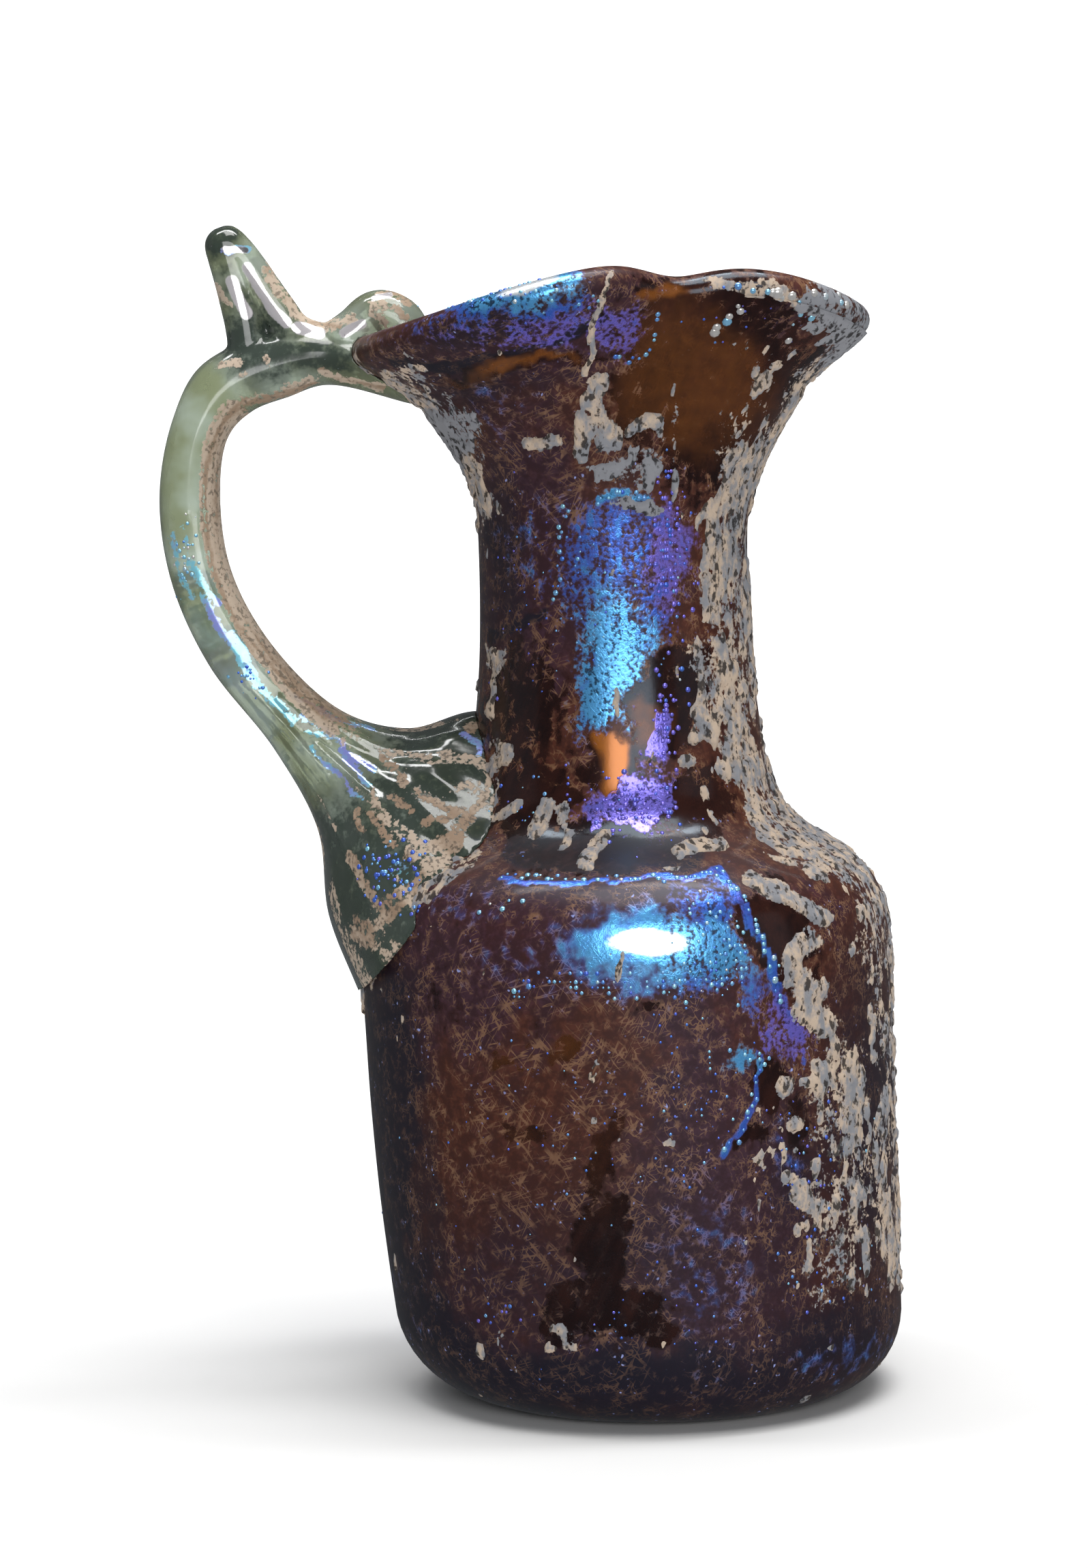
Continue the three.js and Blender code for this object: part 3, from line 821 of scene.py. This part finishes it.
# Dark glass of the thumb rest, web and root; one patch is painted shade in the groove between the thumb
# rest's two strands
DARK_GLASS_AND_SHADE_PATCHES = (
    ((575, 1280), (38, 36), 0, 1.0), ((510, 1330), (30, 110), -14, 0.85), ((590, 1165), (52, 42), 0, 0.8),
    ((650, 1105), (46, 30), 0, 0.75), ((322, 345), (34, 34), 0, 0.8), ((375, 505), (66, 60), 20, 0.75),
    ((460, 520), (80, 26), 8, 0.75), ((520, 1240), (16, 40), -10, 0.6), ((340, 420), (14, 50), -20, 0.5),
    # Painted shade in the groove between the two strands
    ((380, 470), (12, 60), -30, 0.6),
)
# Painted highlights along the strands of the thumb rest and the curl, white and metallic
PAINTED_GLEAMS = (
    (((340, 412), (350, 440), (362, 460)), 9), (((362, 392), (382, 426), (400, 454), (420, 473)), 8),
    (((436, 480), (470, 489)), 9), (((505, 488), (532, 474)), 7), (((330, 364), (360, 367)), 5),
    (((548, 438), (572, 432)), 4),
)
HANDLE_RAGGED_NOISES = ((1.6, 103), (1.6, 109))
HANDLE_HUE_NOISE = (3.5, 113)
LANE_SEED = 137

# Shares of the strap's length and width: the tan strip on its inner side, and its root
INNER_STRIP = (0.62, 0.74)
STRIP_START = (0.26, 0.3)
STRIP_END = (0.7, 0.8)
ROOT_START = (0.74, 0.82)


def handle_weathering_and_painted_light(points):
    """Fields over the handle: film and its hue with painted glints, painted highlights, tan deposit,
    lanes in it, and dark glass with painted shade in a groove.
    """
    ragged = np.stack([cloud(points, *noise) for noise in HANDLE_RAGGED_NOISES], -1) - 0.5
    seen_at = pixels(points)
    spots = seen_at + HANDLE_RAGGED * ragged
    sharp = seen_at + HANDLE_RAGGED * SHARP_SHARE * ragged
    share = np.linspace(0, 1, STRAP_ROWS)
    outer, inner = strap_edges(share)
    flat = points[:, None, [0, 2]]
    to_outer = np.linalg.norm(flat - outer, axis=-1)
    to_inner = np.linalg.norm(flat - inner, axis=-1)
    across = to_outer.min(1) / (to_outer.min(1) + to_inner.min(1))
    along = share[(to_outer + to_inner).argmin(1)]
    lane = lanes(along, across, LANE_SEED)
    span = smooth_step(*STRIP_START, along) * (1 - smooth_step(*STRIP_END, along))
    tan = 0.9 * span * smooth_step(*INNER_STRIP, across + 0.16 * (lane - 0.5))
    tan = np.maximum(tan, 0.85 * drawn(spots, WEB_STRIPS + TAN_STRIPS, 0.9))
    root = smooth_step(*ROOT_START, along)
    tan = np.maximum(tan, 0.62 * root * smooth_step(0.5, 0.66, lane))
    return {
        "film": drawn(spots, STRAP_FILM_AND_PAINTED_GLINTS),
        "painted_gleam": drawn(sharp, PAINTED_GLEAMS),
        "hue": cloud(points, *HANDLE_HUE_NOISE),
        "tan": tan,
        "lane": lane,
        "dark": np.maximum(painted(spots, DARK_GLASS_AND_SHADE_PATCHES), 0.8 * root),
    }


# Blisters of film, in pixels of the photograph: beads in rows along its edges, as route, gap, radius
# in millimetres and hue, and strewn in clusters, as centre, spread, count, radius and hue

BLISTER_ROWS = (
    (((735, 1287), (760, 1283), (850, 1291), (940, 1288), (1062, 1281)), 10, 0.34, 0.9),
    (((1062, 1281), (1095, 1330), (1130, 1400), (1150, 1470)), 11, 0.42, 0.9),
    (((1122, 1550), (1112, 1590), (1106, 1625), (1090, 1660), (1062, 1690)), 11, 0.34, 0.85),
    (((830, 738), (823, 800), (810, 890)), 11, 0.32, 0.85),
    (((852, 795), (846, 830), (858, 850)), 12, 0.24, 0.8),
    (((1003, 720), (985, 800), (990, 870), (1004, 905)), 13, 0.26, 0.2),
    (((965, 700), (962, 735)), 12, 0.24, 0.2),
    (((962, 465), (962, 500), (938, 532), (902, 524)), 10, 0.34, 0.85),
    (((878, 738), (905, 722), (946, 728)), 9, 0.36, 0.95),
    (((975, 1020), (978, 1095), (955, 1130)), 14, 0.3, 0.1), (((830, 1130), (836, 1185)), 12, 0.34, 0.4),
    (((1060, 418), (1100, 424), (1150, 436), (1190, 452)), 22, 0.42, 0.95),
    (((720, 1000), (728, 1040)), 14, 0.26, 0.2),
    (((1046, 488), (1060, 476), (1084, 465), (1092, 448)), 12, 0.62, 1.3),
    (((1130, 428), (1160, 428)), 14, 0.85, 1.3), (((1200, 428), (1232, 436), (1250, 462)), 14, 0.7, 1.25),
    (((1160, 494), (1175, 456), (1205, 470)), 15, 0.5, 1.1),
    (((1078, 1548), (1130, 1556)), 12, 0.32, 0.95), (((705, 1330), (760, 1318)), 14, 0.34, 0.95),
)
BLISTER_CLUSTERS = (
    ((985, 810), (26, 110), 90, 0.3, 0.25), ((976, 1065), (24, 60), 46, 0.3, 0.15),
    ((935, 1180), (60, 46), 50, 0.3, 0.1), ((1200, 1750), (50, 150), 60, 0.24, 0.6),
    ((1050, 1390), (50, 80), 60, 0.24, 0.85), ((760, 430), (110, 30), 50, 0.26, 0.8),
    ((575, 1280), (44, 40), 70, 0.3, 0.55), ((365, 990), (20, 30), 16, 0.22, 0.7),
    ((272, 815), (14, 50), 34, 0.26, 1.0), ((830, 1440), (70, 16), 26, 0.24, 0.7),
    ((940, 1450), (90, 22), 46, 0.26, 0.8), ((750, 1465), (16, 12), 6, 0.34, 0.8),
    ((800, 1700), (170, 150), 60, 0.15, 0.6), ((1000, 1600), (70, 130), 60, 0.17, 0.6),
    ((760, 1200), (40, 50), 14, 0.26, 0.7), ((930, 1180), (52, 40), 40, 0.24, 0.05),
    ((1090, 480), (60, 40), 12, 0.24, 0.4), ((760, 860), (40, 110), 40, 0.16, 0.4),
    ((1160, 1690), (36, 70), 26, 0.2, 0.3), ((730, 1935), (24, 24), 12, 0.24, 0.35),
    ((900, 900), (70, 120), 60, 0.16, 0.7), ((1060, 1420), (50, 30), 30, 0.24, 0.8),
    ((880, 1960), (160, 50), 24, 0.16, 0.5), ((1010, 1900), (60, 60), 16, 0.16, 0.5),
)
BLISTER_SIDES = 8
BLISTER_TIERS = 3
BLISTER_RISE = 0.7
BLISTER_SINK = 0.2
BLISTER_FOOT = 0.4
BLISTER_SEED = 7
PEARL_HUE = 1.3
DEPTH_WEIGHT = 4

# Scatter of the beads: pixels off their row, share of a cluster's spread, and for each kind the
# range of sizes and the spread of hues
ROW_SCATTER = 3
CLUSTER_SCATTER = 0.6
ROW_CHANCE = ((0.4, 1.05), 0.15)
CLUSTER_CHANCE = ((0.35, 1.1), 0.2)


def walk(route, gap):
    corners = np.array(route, float)
    run = np.concatenate([[0], np.cumsum(np.linalg.norm(np.diff(corners, axis=0), axis=1))])
    spots = np.arange(0, run[-1], gap)
    return np.stack([np.interp(spots, run, corners[:, axis]) for axis in range(2)], 1)


def blister_spots():
    """Place in the photograph, radius and hue of every blister."""
    chance = np.random.default_rng(BLISTER_SEED)
    spots = []

    def strew(places, radius, hue, sizes, hue_spread):
        for place in places:
            size = radius * chance.uniform(*sizes)
            spots.append((place, size, hue + chance.normal(0, hue_spread)))

    for route, gap, radius, hue in BLISTER_ROWS:
        places = walk(route, gap)
        places = places + chance.normal(0, ROW_SCATTER, places.shape)
        strew(places, radius, hue, *ROW_CHANCE)
    for centre, spread, count, radius, hue in BLISTER_CLUSTERS:
        places = chance.normal(centre, np.array(spread) * CLUSTER_SCATTER, (count, 2))
        strew(places, radius, hue, *CLUSTER_CHANCE)
    return spots


def make_blisters(carriers):
    """Domes on whatever glass the camera sees first at each spot."""
    places = np.concatenate([mesh_values(carrier.data, "co") for carrier in carriers]) / MM
    normals = np.concatenate([mesh_values(carrier.data, "normal") for carrier in carriers])
    to_camera = CAMERA_PLACE - places
    facing = (normals * to_camera).sum(-1) > 0
    seen = places[facing]
    seen_normals = normals[facing]
    depth = np.linalg.norm(to_camera[facing], axis=-1)
    columns = pixels(seen)
    turn = ring_angles(BLISTER_SIDES)
    points = []
    faces = []
    hues = []
    for place, radius, hue in blister_spots():
        nearest = (((columns - place) ** 2).sum(-1) + DEPTH_WEIGHT * depth).argmin()
        middle = seen[nearest]
        up = seen_normals[nearest]
        side = np.cross(up, (0, 0, 1))
        side /= np.linalg.norm(side)
        ahead = np.cross(side, up)
        start = len(points)
        for tier in range(BLISTER_TIERS):
            lean = math.pi / 2 * tier / BLISTER_TIERS
            reach = radius * math.cos(lean)
            rise = radius * (BLISTER_RISE * math.sin(lean) - BLISTER_SINK)
            for angle in turn:
                out = math.cos(angle) * side + math.sin(angle) * ahead
                points.append(middle + reach * out + rise * up)
        top = len(points)
        points.append(middle + radius * (BLISTER_RISE - BLISTER_SINK) * up)
        foot = len(points)
        points.append(middle - BLISTER_FOOT * radius * up)
        faces += (grid_faces(BLISTER_TIERS, BLISTER_SIDES) + start).tolist()
        last = start + (BLISTER_TIERS - 1) * BLISTER_SIDES
        for step in range(BLISTER_SIDES):
            after = (step + 1) % BLISTER_SIDES
            faces.append([last + step, last + after, top])
            faces.append([start + after, start + step, foot])
        hues += [hue] * (len(points) - start)
    return make_object("film_blisters", points, faces, {"hue": np.clip(hues, 0, PEARL_HUE)})


vessel = make_vessel()
crust = make_crust()
handle = make_handle()
blisters = make_blisters((vessel, handle))
for piece, node, slot in ((vessel, "vessel", "amber_glass"), (handle, "handle", "green_glass")):
    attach(piece, "root")
    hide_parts(node)
for piece in (crust, blisters):
    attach(piece, "root")


# Looks


class Surface:
    """A node material built value by value around its one Principled shader."""

    def __init__(self, name):
        self.material = bpy.data.materials.new(name)
        self.material.use_nodes = True
        self.nodes = self.material.node_tree.nodes
        self.links = self.material.node_tree.links
        self.shader = self.nodes["Principled BSDF"]
        self.place = self.nodes.new("ShaderNodeTexCoord").outputs["Object"]

    def feed(self, socket, value):
        if isinstance(value, bpy.types.NodeSocket):
            self.links.new(value, socket)
        else:
            socket.default_value = value

    def set(self, **values):
        for name, value in values.items():
            self.feed(self.shader.inputs[name.replace("_", " ")], value)

    def field(self, name):
        node = self.nodes.new("ShaderNodeAttribute")
        node.attribute_name = name
        return node.outputs["Fac"]

    def noise(self, size, detail=3, stretch=(1, 1, 1), turn=(0, 0, 0), distortion=0):
        mapping = self.nodes.new("ShaderNodeMapping")
        self.feed(mapping.inputs["Vector"], self.place)
        mapping.vector_type = "TEXTURE"
        mapping.inputs["Rotation"].default_value = turn
        mapping.inputs["Scale"].default_value = [size * MM / factor for factor in stretch]
        node = self.nodes.new("ShaderNodeTexNoise")
        self.feed(node.inputs["Vector"], mapping.outputs["Vector"])
        self.feed(node.inputs["Scale"], 1)
        self.feed(node.inputs["Detail"], detail)
        self.feed(node.inputs["Distortion"], distortion)
        return node.outputs["Fac"]

    def calculate(self, operation, *values):
        node = self.nodes.new("ShaderNodeMath")
        node.operation = operation
        for socket, value in zip(node.inputs, values):
            self.feed(socket, value)
        return node.outputs[0]

    def times(self, first, second):
        return self.calculate("MULTIPLY", first, second)

    def sum(self, first, *parts):
        """first plus each value times its weight."""
        for value, weight in parts:
            first = self.calculate("MULTIPLY_ADD", value, weight, first)
        return first

    def hairs(self, size, turn):
        """1 along thin curved lines, where a drawn-out noise passes its middle, and 0 beside them."""
        drawn_out = self.noise(size, 2, HAIR_STRETCH, (turn / 3, turn, 0), 0.3)
        from_middle = self.calculate("ABSOLUTE", self.sum(drawn_out, (1, -0.5)))
        return self.scale(from_middle, 0, HAIR_WIDTH, 1, 0)

    def scale(self, value, low, high, to_low=0, to_high=1):
        node = self.nodes.new("ShaderNodeMapRange")
        node.interpolation_type = "SMOOTHSTEP"
        self.feed(node.inputs["Value"], value)
        self.feed(node.inputs["From Min"], low)
        self.feed(node.inputs["From Max"], high)
        self.feed(node.inputs["To Min"], to_low)
        self.feed(node.inputs["To Max"], to_high)
        return node.outputs["Result"]

    def level(self, share, first, second):
        node = self.nodes.new("ShaderNodeMix")
        self.feed(node.inputs[0], share)
        self.feed(node.inputs[2], first)
        self.feed(node.inputs[3], second)
        return node.outputs[0]

    def colour(self, share, first, second):
        node = self.nodes.new("ShaderNodeMix")
        node.data_type = "RGBA"
        self.feed(node.inputs[0], share)
        for socket, value in ((node.inputs[6], first), (node.inputs[7], second)):
            self.feed(socket, (*value, 1) if isinstance(value, tuple) else value)
        return node.outputs[2]

    def bump(self, height, strength, depth):
        node = self.nodes.new("ShaderNodeBump")
        self.feed(node.inputs["Height"], height)
        self.feed(node.inputs["Strength"], strength)
        self.feed(node.inputs["Distance"], depth * MM)
        self.set(Normal=node.outputs["Normal"])


AMBER_DARK = (0.024, 0.006, 0.003)
AMBER_BROWN = (0.055, 0.015, 0.008)
# Colour of the painted glow of light through the amber
PAINTED_AMBER_GLOW = (0.68, 0.22, 0.03)
HAZE_PLUM = (0.06, 0.022, 0.034)
HAZE_BROWN = (0.098, 0.026, 0.011)
# Dark bluish colour of the painted shade, also used for the pits in the film
PAINTED_SHADE_AND_PIT_DARK = (0.011, 0.009, 0.019)
FIBRE_GOLD = (0.27, 0.14, 0.07)
SPECK_LILAC = (0.35, 0.4, 0.8)
FILM_TINT = (0.6, 0.8, 1)
FILM_VIOLET = (0.26, 0.21, 0.86)
FILM_BLUE = (0.075, 0.19, 0.8)
FILM_CYAN = (0.14, 0.51, 0.97)
# White of the painted highlight
PAINTED_HIGHLIGHT_WHITE = (0.93, 0.97, 1)
PEARL = (0.72, 0.7, 0.68)
CRUST_TAN = (0.5, 0.395, 0.305)
CRUST_GREY = (0.235, 0.24, 0.26)
CRUST_PIT = (0.022, 0.019, 0.02)
GREEN_PALE = (0.44, 0.52, 0.43)
GREEN_OLIVE = (0.27, 0.31, 0.18)
GREEN_DARK = (0.028, 0.04, 0.033)
TAN_EDGE = (0.31, 0.21, 0.14)
TAN_GAP = (0.1, 0.075, 0.055)
BLISTER_PALE = (0.34, 0.72, 0.96)
STREAK_LILAC = (0.36, 0.4, 0.95)
STREAK_AQUA = (0.28, 0.72, 0.88)
PAINTED_GLEAM = (0.95, 0.9, 0.93)
GLASS_IOR = 1.5

# Hair lines in the haze: width and stretch, and the size and turn of each set
HAIR_WIDTH = 0.03
HAIR_STRETCH = (2, 2, 0.22)
HAIR_SETS = ((1.7, 0.45), (2.1, -0.7), (1.9, 1.25))


def film_colours(look, hue, pits):
    colour = look.colour(look.scale(hue, 0.05, 0.5), FILM_VIOLET, FILM_BLUE)
    colour = look.colour(look.scale(hue, 0.5, 0.95), colour, FILM_CYAN)
    return look.colour(pits, colour, PAINTED_SHADE_AND_PIT_DARK)


def amber_look():
    look = Surface("amber_glass")
    fine = look.noise(1.3, 4)
    grain = look.noise(0.42, 3)
    broad = look.noise(9, 3)
    medium = look.noise(3.2, 4)
    streaks = look.noise(1.2, 3, (1.4, 1.4, 0.16))
    threads = look.sum(0, *[(look.hairs(size, turn), 1) for size, turn in HAIR_SETS])
    broken = look.scale(look.sum(fine, (medium, 0.8)), 0.78, 1.05)
    threads = look.times(look.scale(threads, 0, 1), broken)
    # Painted glow: bright orange where light shines through the glass
    painted_glow = look.scale(look.sum(look.field("painted_glow"), (fine, 0.2)), 0.2, 1.05)
    cords = look.sum(broad, (look.noise(2.6, 4, (1.7, 1.7, 0.25), (0.2, 0.4, 0), 0.6), 0.8))
    colour = look.colour(look.scale(cords, 0.75, 1.1), AMBER_DARK, AMBER_BROWN)
    colour = look.colour(painted_glow, colour, PAINTED_AMBER_GLOW)
    cover = look.sum(look.field("haze"), (fine, 1.0), (streaks, 0.4), (threads, 0.12))
    haze = look.scale(cover, 0.88, 1.22, 0, 0.95)
    plum = look.scale(look.sum(look.field("plum"), (medium, 1.4)), 0.6, 1.3)
    veil = look.colour(plum, HAZE_BROWN, HAZE_PLUM)
    thin = look.scale(look.sum(fine, (grain, 0.7)), 0.7, 1.0, 0.5, 0)
    veil = look.colour(thin, veil, AMBER_DARK)
    # Painted shade: darkens the haze towards a dark blue
    painted_shade_and_dark_haze = look.scale(look.sum(look.field("painted_shade_and_dark_haze"), (fine, 0.6)), 0.4, 1.1, 0, 0.9)
    veil = look.colour(painted_shade_and_dark_haze, veil, PAINTED_SHADE_AND_PIT_DARK)
    veil = look.colour(look.times(threads, look.scale(painted_shade_and_dark_haze, 0, 1, 0.75, 0.3)), veil, FIBRE_GOLD)
    specks = look.scale(look.noise(0.55, 1), 0.7, 0.78, 0, 0.9)
    specks = look.times(specks, look.scale(medium, 0.42, 0.62))
    veil = look.colour(specks, veil, SPECK_LILAC)
    colour = look.colour(haze, colour, veil)
    grit = look.field("grit")
    speckle = look.sum(look.times(grain, 1.1), (streaks, 0.8))
    cover = look.sum(look.field("film"), (fine, 0.8), (look.times(grit, speckle), 1), (threads, 0.1))
    film = look.scale(look.sum(cover, (grit, -0.95), (1, -0.4)), 0.28, 0.85)
    hue = look.sum(look.field("hue"), (fine, 0.9), (streaks, 0.5), (1, -0.7))
    pits = look.times(grit, look.scale(look.sum(grain, (streaks, 0.5)), 0.6, 0.78, 0.85, 0))
    # Painted highlight: white cores of reflection, mixed into the film colour
    painted_highlight = look.scale(look.sum(look.field("painted_highlight"), (grain, 0.3)), 0.4, 0.8)
    layers = look.colour(painted_highlight, film_colours(look, hue, pits), PAINTED_HIGHLIGHT_WHITE)
    colour = look.colour(film, colour, layers)
    cover = look.sum(look.field("crust"), (fine, 1.1), (grain, 1.0), (1, -1.05))
    dust = look.scale(cover, 0.58, 0.72)
    colour = look.colour(dust, colour, deposit_colours(look))
    clear = look.times(look.scale(haze, 0, 1, 0.55, 0.1), look.scale(film, 0, 1, 1, 0))
    rough = look.level(look.scale(look.sum(haze, (painted_shade_and_dark_haze, 1)), 0, 1), 0.18, 0.44)
    rough = look.level(dust, look.level(film, rough, 0.25), 0.9)
    look.set(Base_Color=colour, Roughness=rough, IOR=GLASS_IOR)
    look.set(Specular_IOR_Level=0.32, Specular_Tint=(*FILM_TINT, 1))
    # The painted glow also turns the glass metallic, so its reflections there come out orange
    mirror = look.sum(film, (look.times(painted_glow, look.scale(film, 0, 1, 1, 0)), 0.35))
    look.set(Metallic=look.times(mirror, look.scale(dust, 0, 1, 0.7, 0)))
    look.set(Transmission_Weight=look.times(clear, look.scale(dust, 0, 1, 1, 0)))
    look.set(Coat_Weight=look.scale(dust, 0, 1, 0.14, 0), Coat_Roughness=0.1)
    ripple = look.times(film, look.sum(look.times(grain, 1.6), (threads, 0.6)))
    relief = look.sum(look.times(grain, 0.35), (film, 0.2), (dust, 0.8), (ripple, 1))
    look.bump(relief, 0.16, 0.1)
    return look.material


def deposit_colours(look):
    """Tan and blue-grey grains of crust with dark gaps between them, drawn out upwards."""
    grain = look.noise(0.5, 4, (1, 1, 0.7))
    lumps = look.noise(1.5, 4, (1, 1, 0.55))
    tint = look.sum(look.field("grey"), (lumps, 2.4), (grain, 1.4), (1, -1.5))
    colour = look.colour(look.scale(tint, 0.1, 0.8), CRUST_TAN, CRUST_GREY)
    hollow = look.sum(grain, (look.noise(0.9, 3, (1, 1, 0.6)), 1.2))
    return look.colour(look.scale(hollow, 0.9, 1.06, 0.92, 0), colour, CRUST_PIT)


def crust_look():
    look = Surface("burial_crust")
    look.set(Base_Color=deposit_colours(look), Roughness=0.92, Specular_IOR_Level=0.25)
    look.bump(look.noise(0.5, 4), 0.5, 0.15)
    return look.material


def green_look():
    look = Surface("green_glass")
    fine = look.noise(1.1, 4)
    grain = look.noise(0.4, 3)
    colour = look.colour(look.scale(look.noise(6, 3), 0.35, 0.65), GREEN_PALE, GREEN_OLIVE)
    # Dark glass, with painted shade in the groove of the thumb rest
    dark = look.sum(look.field("dark"), (fine, 0.9), (grain, 0.4), (1, -0.65))
    dark = look.scale(dark, 0.1, 0.8, 0, 0.95)
    colour = look.colour(dark, colour, GREEN_DARK)
    # Film streaks, some of them painted highlights and glints
    film = look.sum(look.field("film"), (fine, 1.1), (grain, 1.3), (1, -1.2))
    film = look.scale(film, 0.4, 0.8)
    hue = look.sum(look.field("hue"), (grain, 0.6), (1, -0.3))
    streak = look.colour(look.scale(hue, 0.3, 0.7), STREAK_LILAC, STREAK_AQUA)
    colour = look.colour(film, colour, streak)
    tan = look.sum(look.field("tan"), (fine, 1.3), (grain, 1.3), (1, -1.3))
    tan = look.scale(tan, 0.45, 0.7, 0, 0.95)
    deposit = look.sum(look.field("lane"), (fine, 0.8), (grain, 0.6), (1, -0.7))
    deposit = look.colour(look.scale(deposit, 0.2, 0.8), TAN_EDGE, CRUST_TAN)
    hollow = look.sum(grain, (look.noise(0.8, 3), 1.1))
    deposit = look.colour(look.scale(hollow, 0.84, 1.02, 0.7, 0), deposit, TAN_GAP)
    colour = look.colour(tan, colour, deposit)
    # Painted highlights: white metallic lines along the strands
    painted_gleam = look.scale(look.sum(look.field("painted_gleam"), (fine, 0.3), (1, -0.15)), 0.3, 0.8)
    colour = look.colour(painted_gleam, colour, PAINTED_GLEAM)
    tan = look.times(tan, look.scale(painted_gleam, 0, 1, 1, 0))
    shine = look.sum(film, (painted_gleam, 1))
    clear = look.times(look.scale(dark, 0, 1, 0.55, 0.12), look.scale(shine, 0, 1, 1, 0.2))
    look.set(Base_Color=colour, Roughness=look.level(tan, 0.12, 0.7), IOR=GLASS_IOR)
    look.set(Transmission_Weight=look.times(clear, look.scale(tan, 0, 1, 1, 0)))
    look.set(Metallic=look.sum(look.times(film, 0.4), (painted_gleam, 0.6)))
    look.set(Coat_Weight=look.scale(tan, 0, 1, 0.5, 0), Coat_Roughness=0.05)
    look.bump(look.sum(look.times(fine, 0.4), (tan, 0.7)), 0.22, 0.12)
    return look.material


def blister_look():
    look = Surface("film_blisters")
    hue = look.field("hue")
    colour = look.colour(look.scale(hue, 0, 0.6), FILM_VIOLET, FILM_BLUE)
    colour = look.colour(look.scale(hue, 0.5, 1), colour, BLISTER_PALE)
    colour = look.colour(look.scale(hue, 1.05, 1.25), colour, PEARL)
    look.set(Base_Color=colour, Metallic=0.6, Roughness=0.2)
    return look.material


vessel.data.materials.append(amber_look())
crust.data.materials.append(crust_look())
handle.data.materials.append(green_look())
blisters.data.materials.append(blister_look())


# Studio, in metres: a pale sweep, a window in front, a soft light above, weak fills at the sides and
# two washes over the backdrop. A light is a name, place, target, size, power in watts and colour.

SWEEP_FRONT = -1.5
SWEEP_BEND = 0.7
SWEEP_RADIUS = 0.35
SWEEP_TOP = 1.1
SWEEP_HALF_WIDTH = 1.5
SWEEP_STEPS = 25
SWEEP_GREY = (0.78, 0.78, 0.78)
WORLD_GREY = (0.8, 0.85, 0.9)
WORLD_STRENGTH = 0.14
LIGHTS = (
    ("front_window", (0.16, -0.88, 0.3), (0, 0, 0.06), (0.6, 0.4), 3.2, (1, 1, 1)),
    ("top_soft", (0.1, -0.2, 0.82), (0, 0, 0.06), (0.5, 0.42), 4.4, (1, 0.99, 0.97)),
    ("left_fill", (-0.75, -0.1, 0.25), (0, 0, 0.06), (0.4, 0.5), 0.07, (0.95, 0.98, 1)),
    ("right_fill", (0.72, -0.4, 0.25), (0, 0, 0.06), (0.4, 0.5), 0.16, (1, 1, 1)),
    ("back_wash", (0, 0.02, 0.75), (0, 0.5, 0.25), (0.8, 0.15), 5.0, (1, 1, 1)),
    ("wall_wash", (0, 0.5, 0.75), (0, 1.05, 0.3), (1.2, 0.15), 9.0, (1, 1, 1)),
)


def make_sweep():
    turn = np.linspace(0, math.pi / 2, SWEEP_STEPS)
    bend = [(SWEEP_BEND + SWEEP_RADIUS * math.sin(a), SWEEP_RADIUS * (1 - math.cos(a))) for a in turn]
    route = [(SWEEP_FRONT, 0), *bend, (SWEEP_BEND + SWEEP_RADIUS, SWEEP_TOP)]
    points = [(x / MM, y / MM, z / MM) for y, z in route for x in (-SWEEP_HALF_WIDTH, SWEEP_HALF_WIDTH)]
    faces = [(2 * i, 2 * i + 1, 2 * i + 3, 2 * i + 2) for i in range(len(route) - 1)]
    sweep = make_object("sweep", points, faces)
    look = Surface("sweep")
    look.set(Base_Color=(*SWEEP_GREY, 1), Roughness=0.9)
    sweep.data.materials.append(look.material)
    sweep.visible_glossy = False


def make_lights():
    for name, place, target, (width, height), power, colour in LIGHTS:
        data = bpy.data.lights.new(name, "AREA")
        data.shape = "RECTANGLE"
        data.size = width
        data.size_y = height
        data.energy = power
        data.color = colour
        made = bpy.data.objects.new(name, data)
        made.location = place
        made.rotation_euler = (Vector(target) - Vector(place)).to_track_quat("-Z", "Y").to_euler()
        bpy.context.scene.collection.objects.link(made)
    world = bpy.data.worlds.new("studio")
    world.use_nodes = True
    ground = world.node_tree.nodes["Background"]
    ground.inputs["Color"].default_value = (*WORLD_GREY, 1)
    ground.inputs["Strength"].default_value = WORLD_STRENGTH
    bpy.context.scene.world = world
    bpy.context.scene.view_settings.view_transform = "Standard"


make_sweep()
make_lights()


def make_camera():
    right, up, forward = camera_axes()
    data = bpy.data.cameras.new("camera")
    data.sensor_width = SENSOR
    data.lens = FOCAL_PIXELS / PHOTO_HEIGHT * SENSOR
    data.clip_start = CLIP_START
    made = bpy.data.objects.new("camera", data)
    turn = Matrix((right, up, -forward)).transposed().to_4x4()
    made.matrix_world = Matrix.Translation(Vector(CAMERA_PLACE * MM)) @ turn
    bpy.context.scene.collection.objects.link(made)
    bpy.context.scene.camera = made


make_camera()
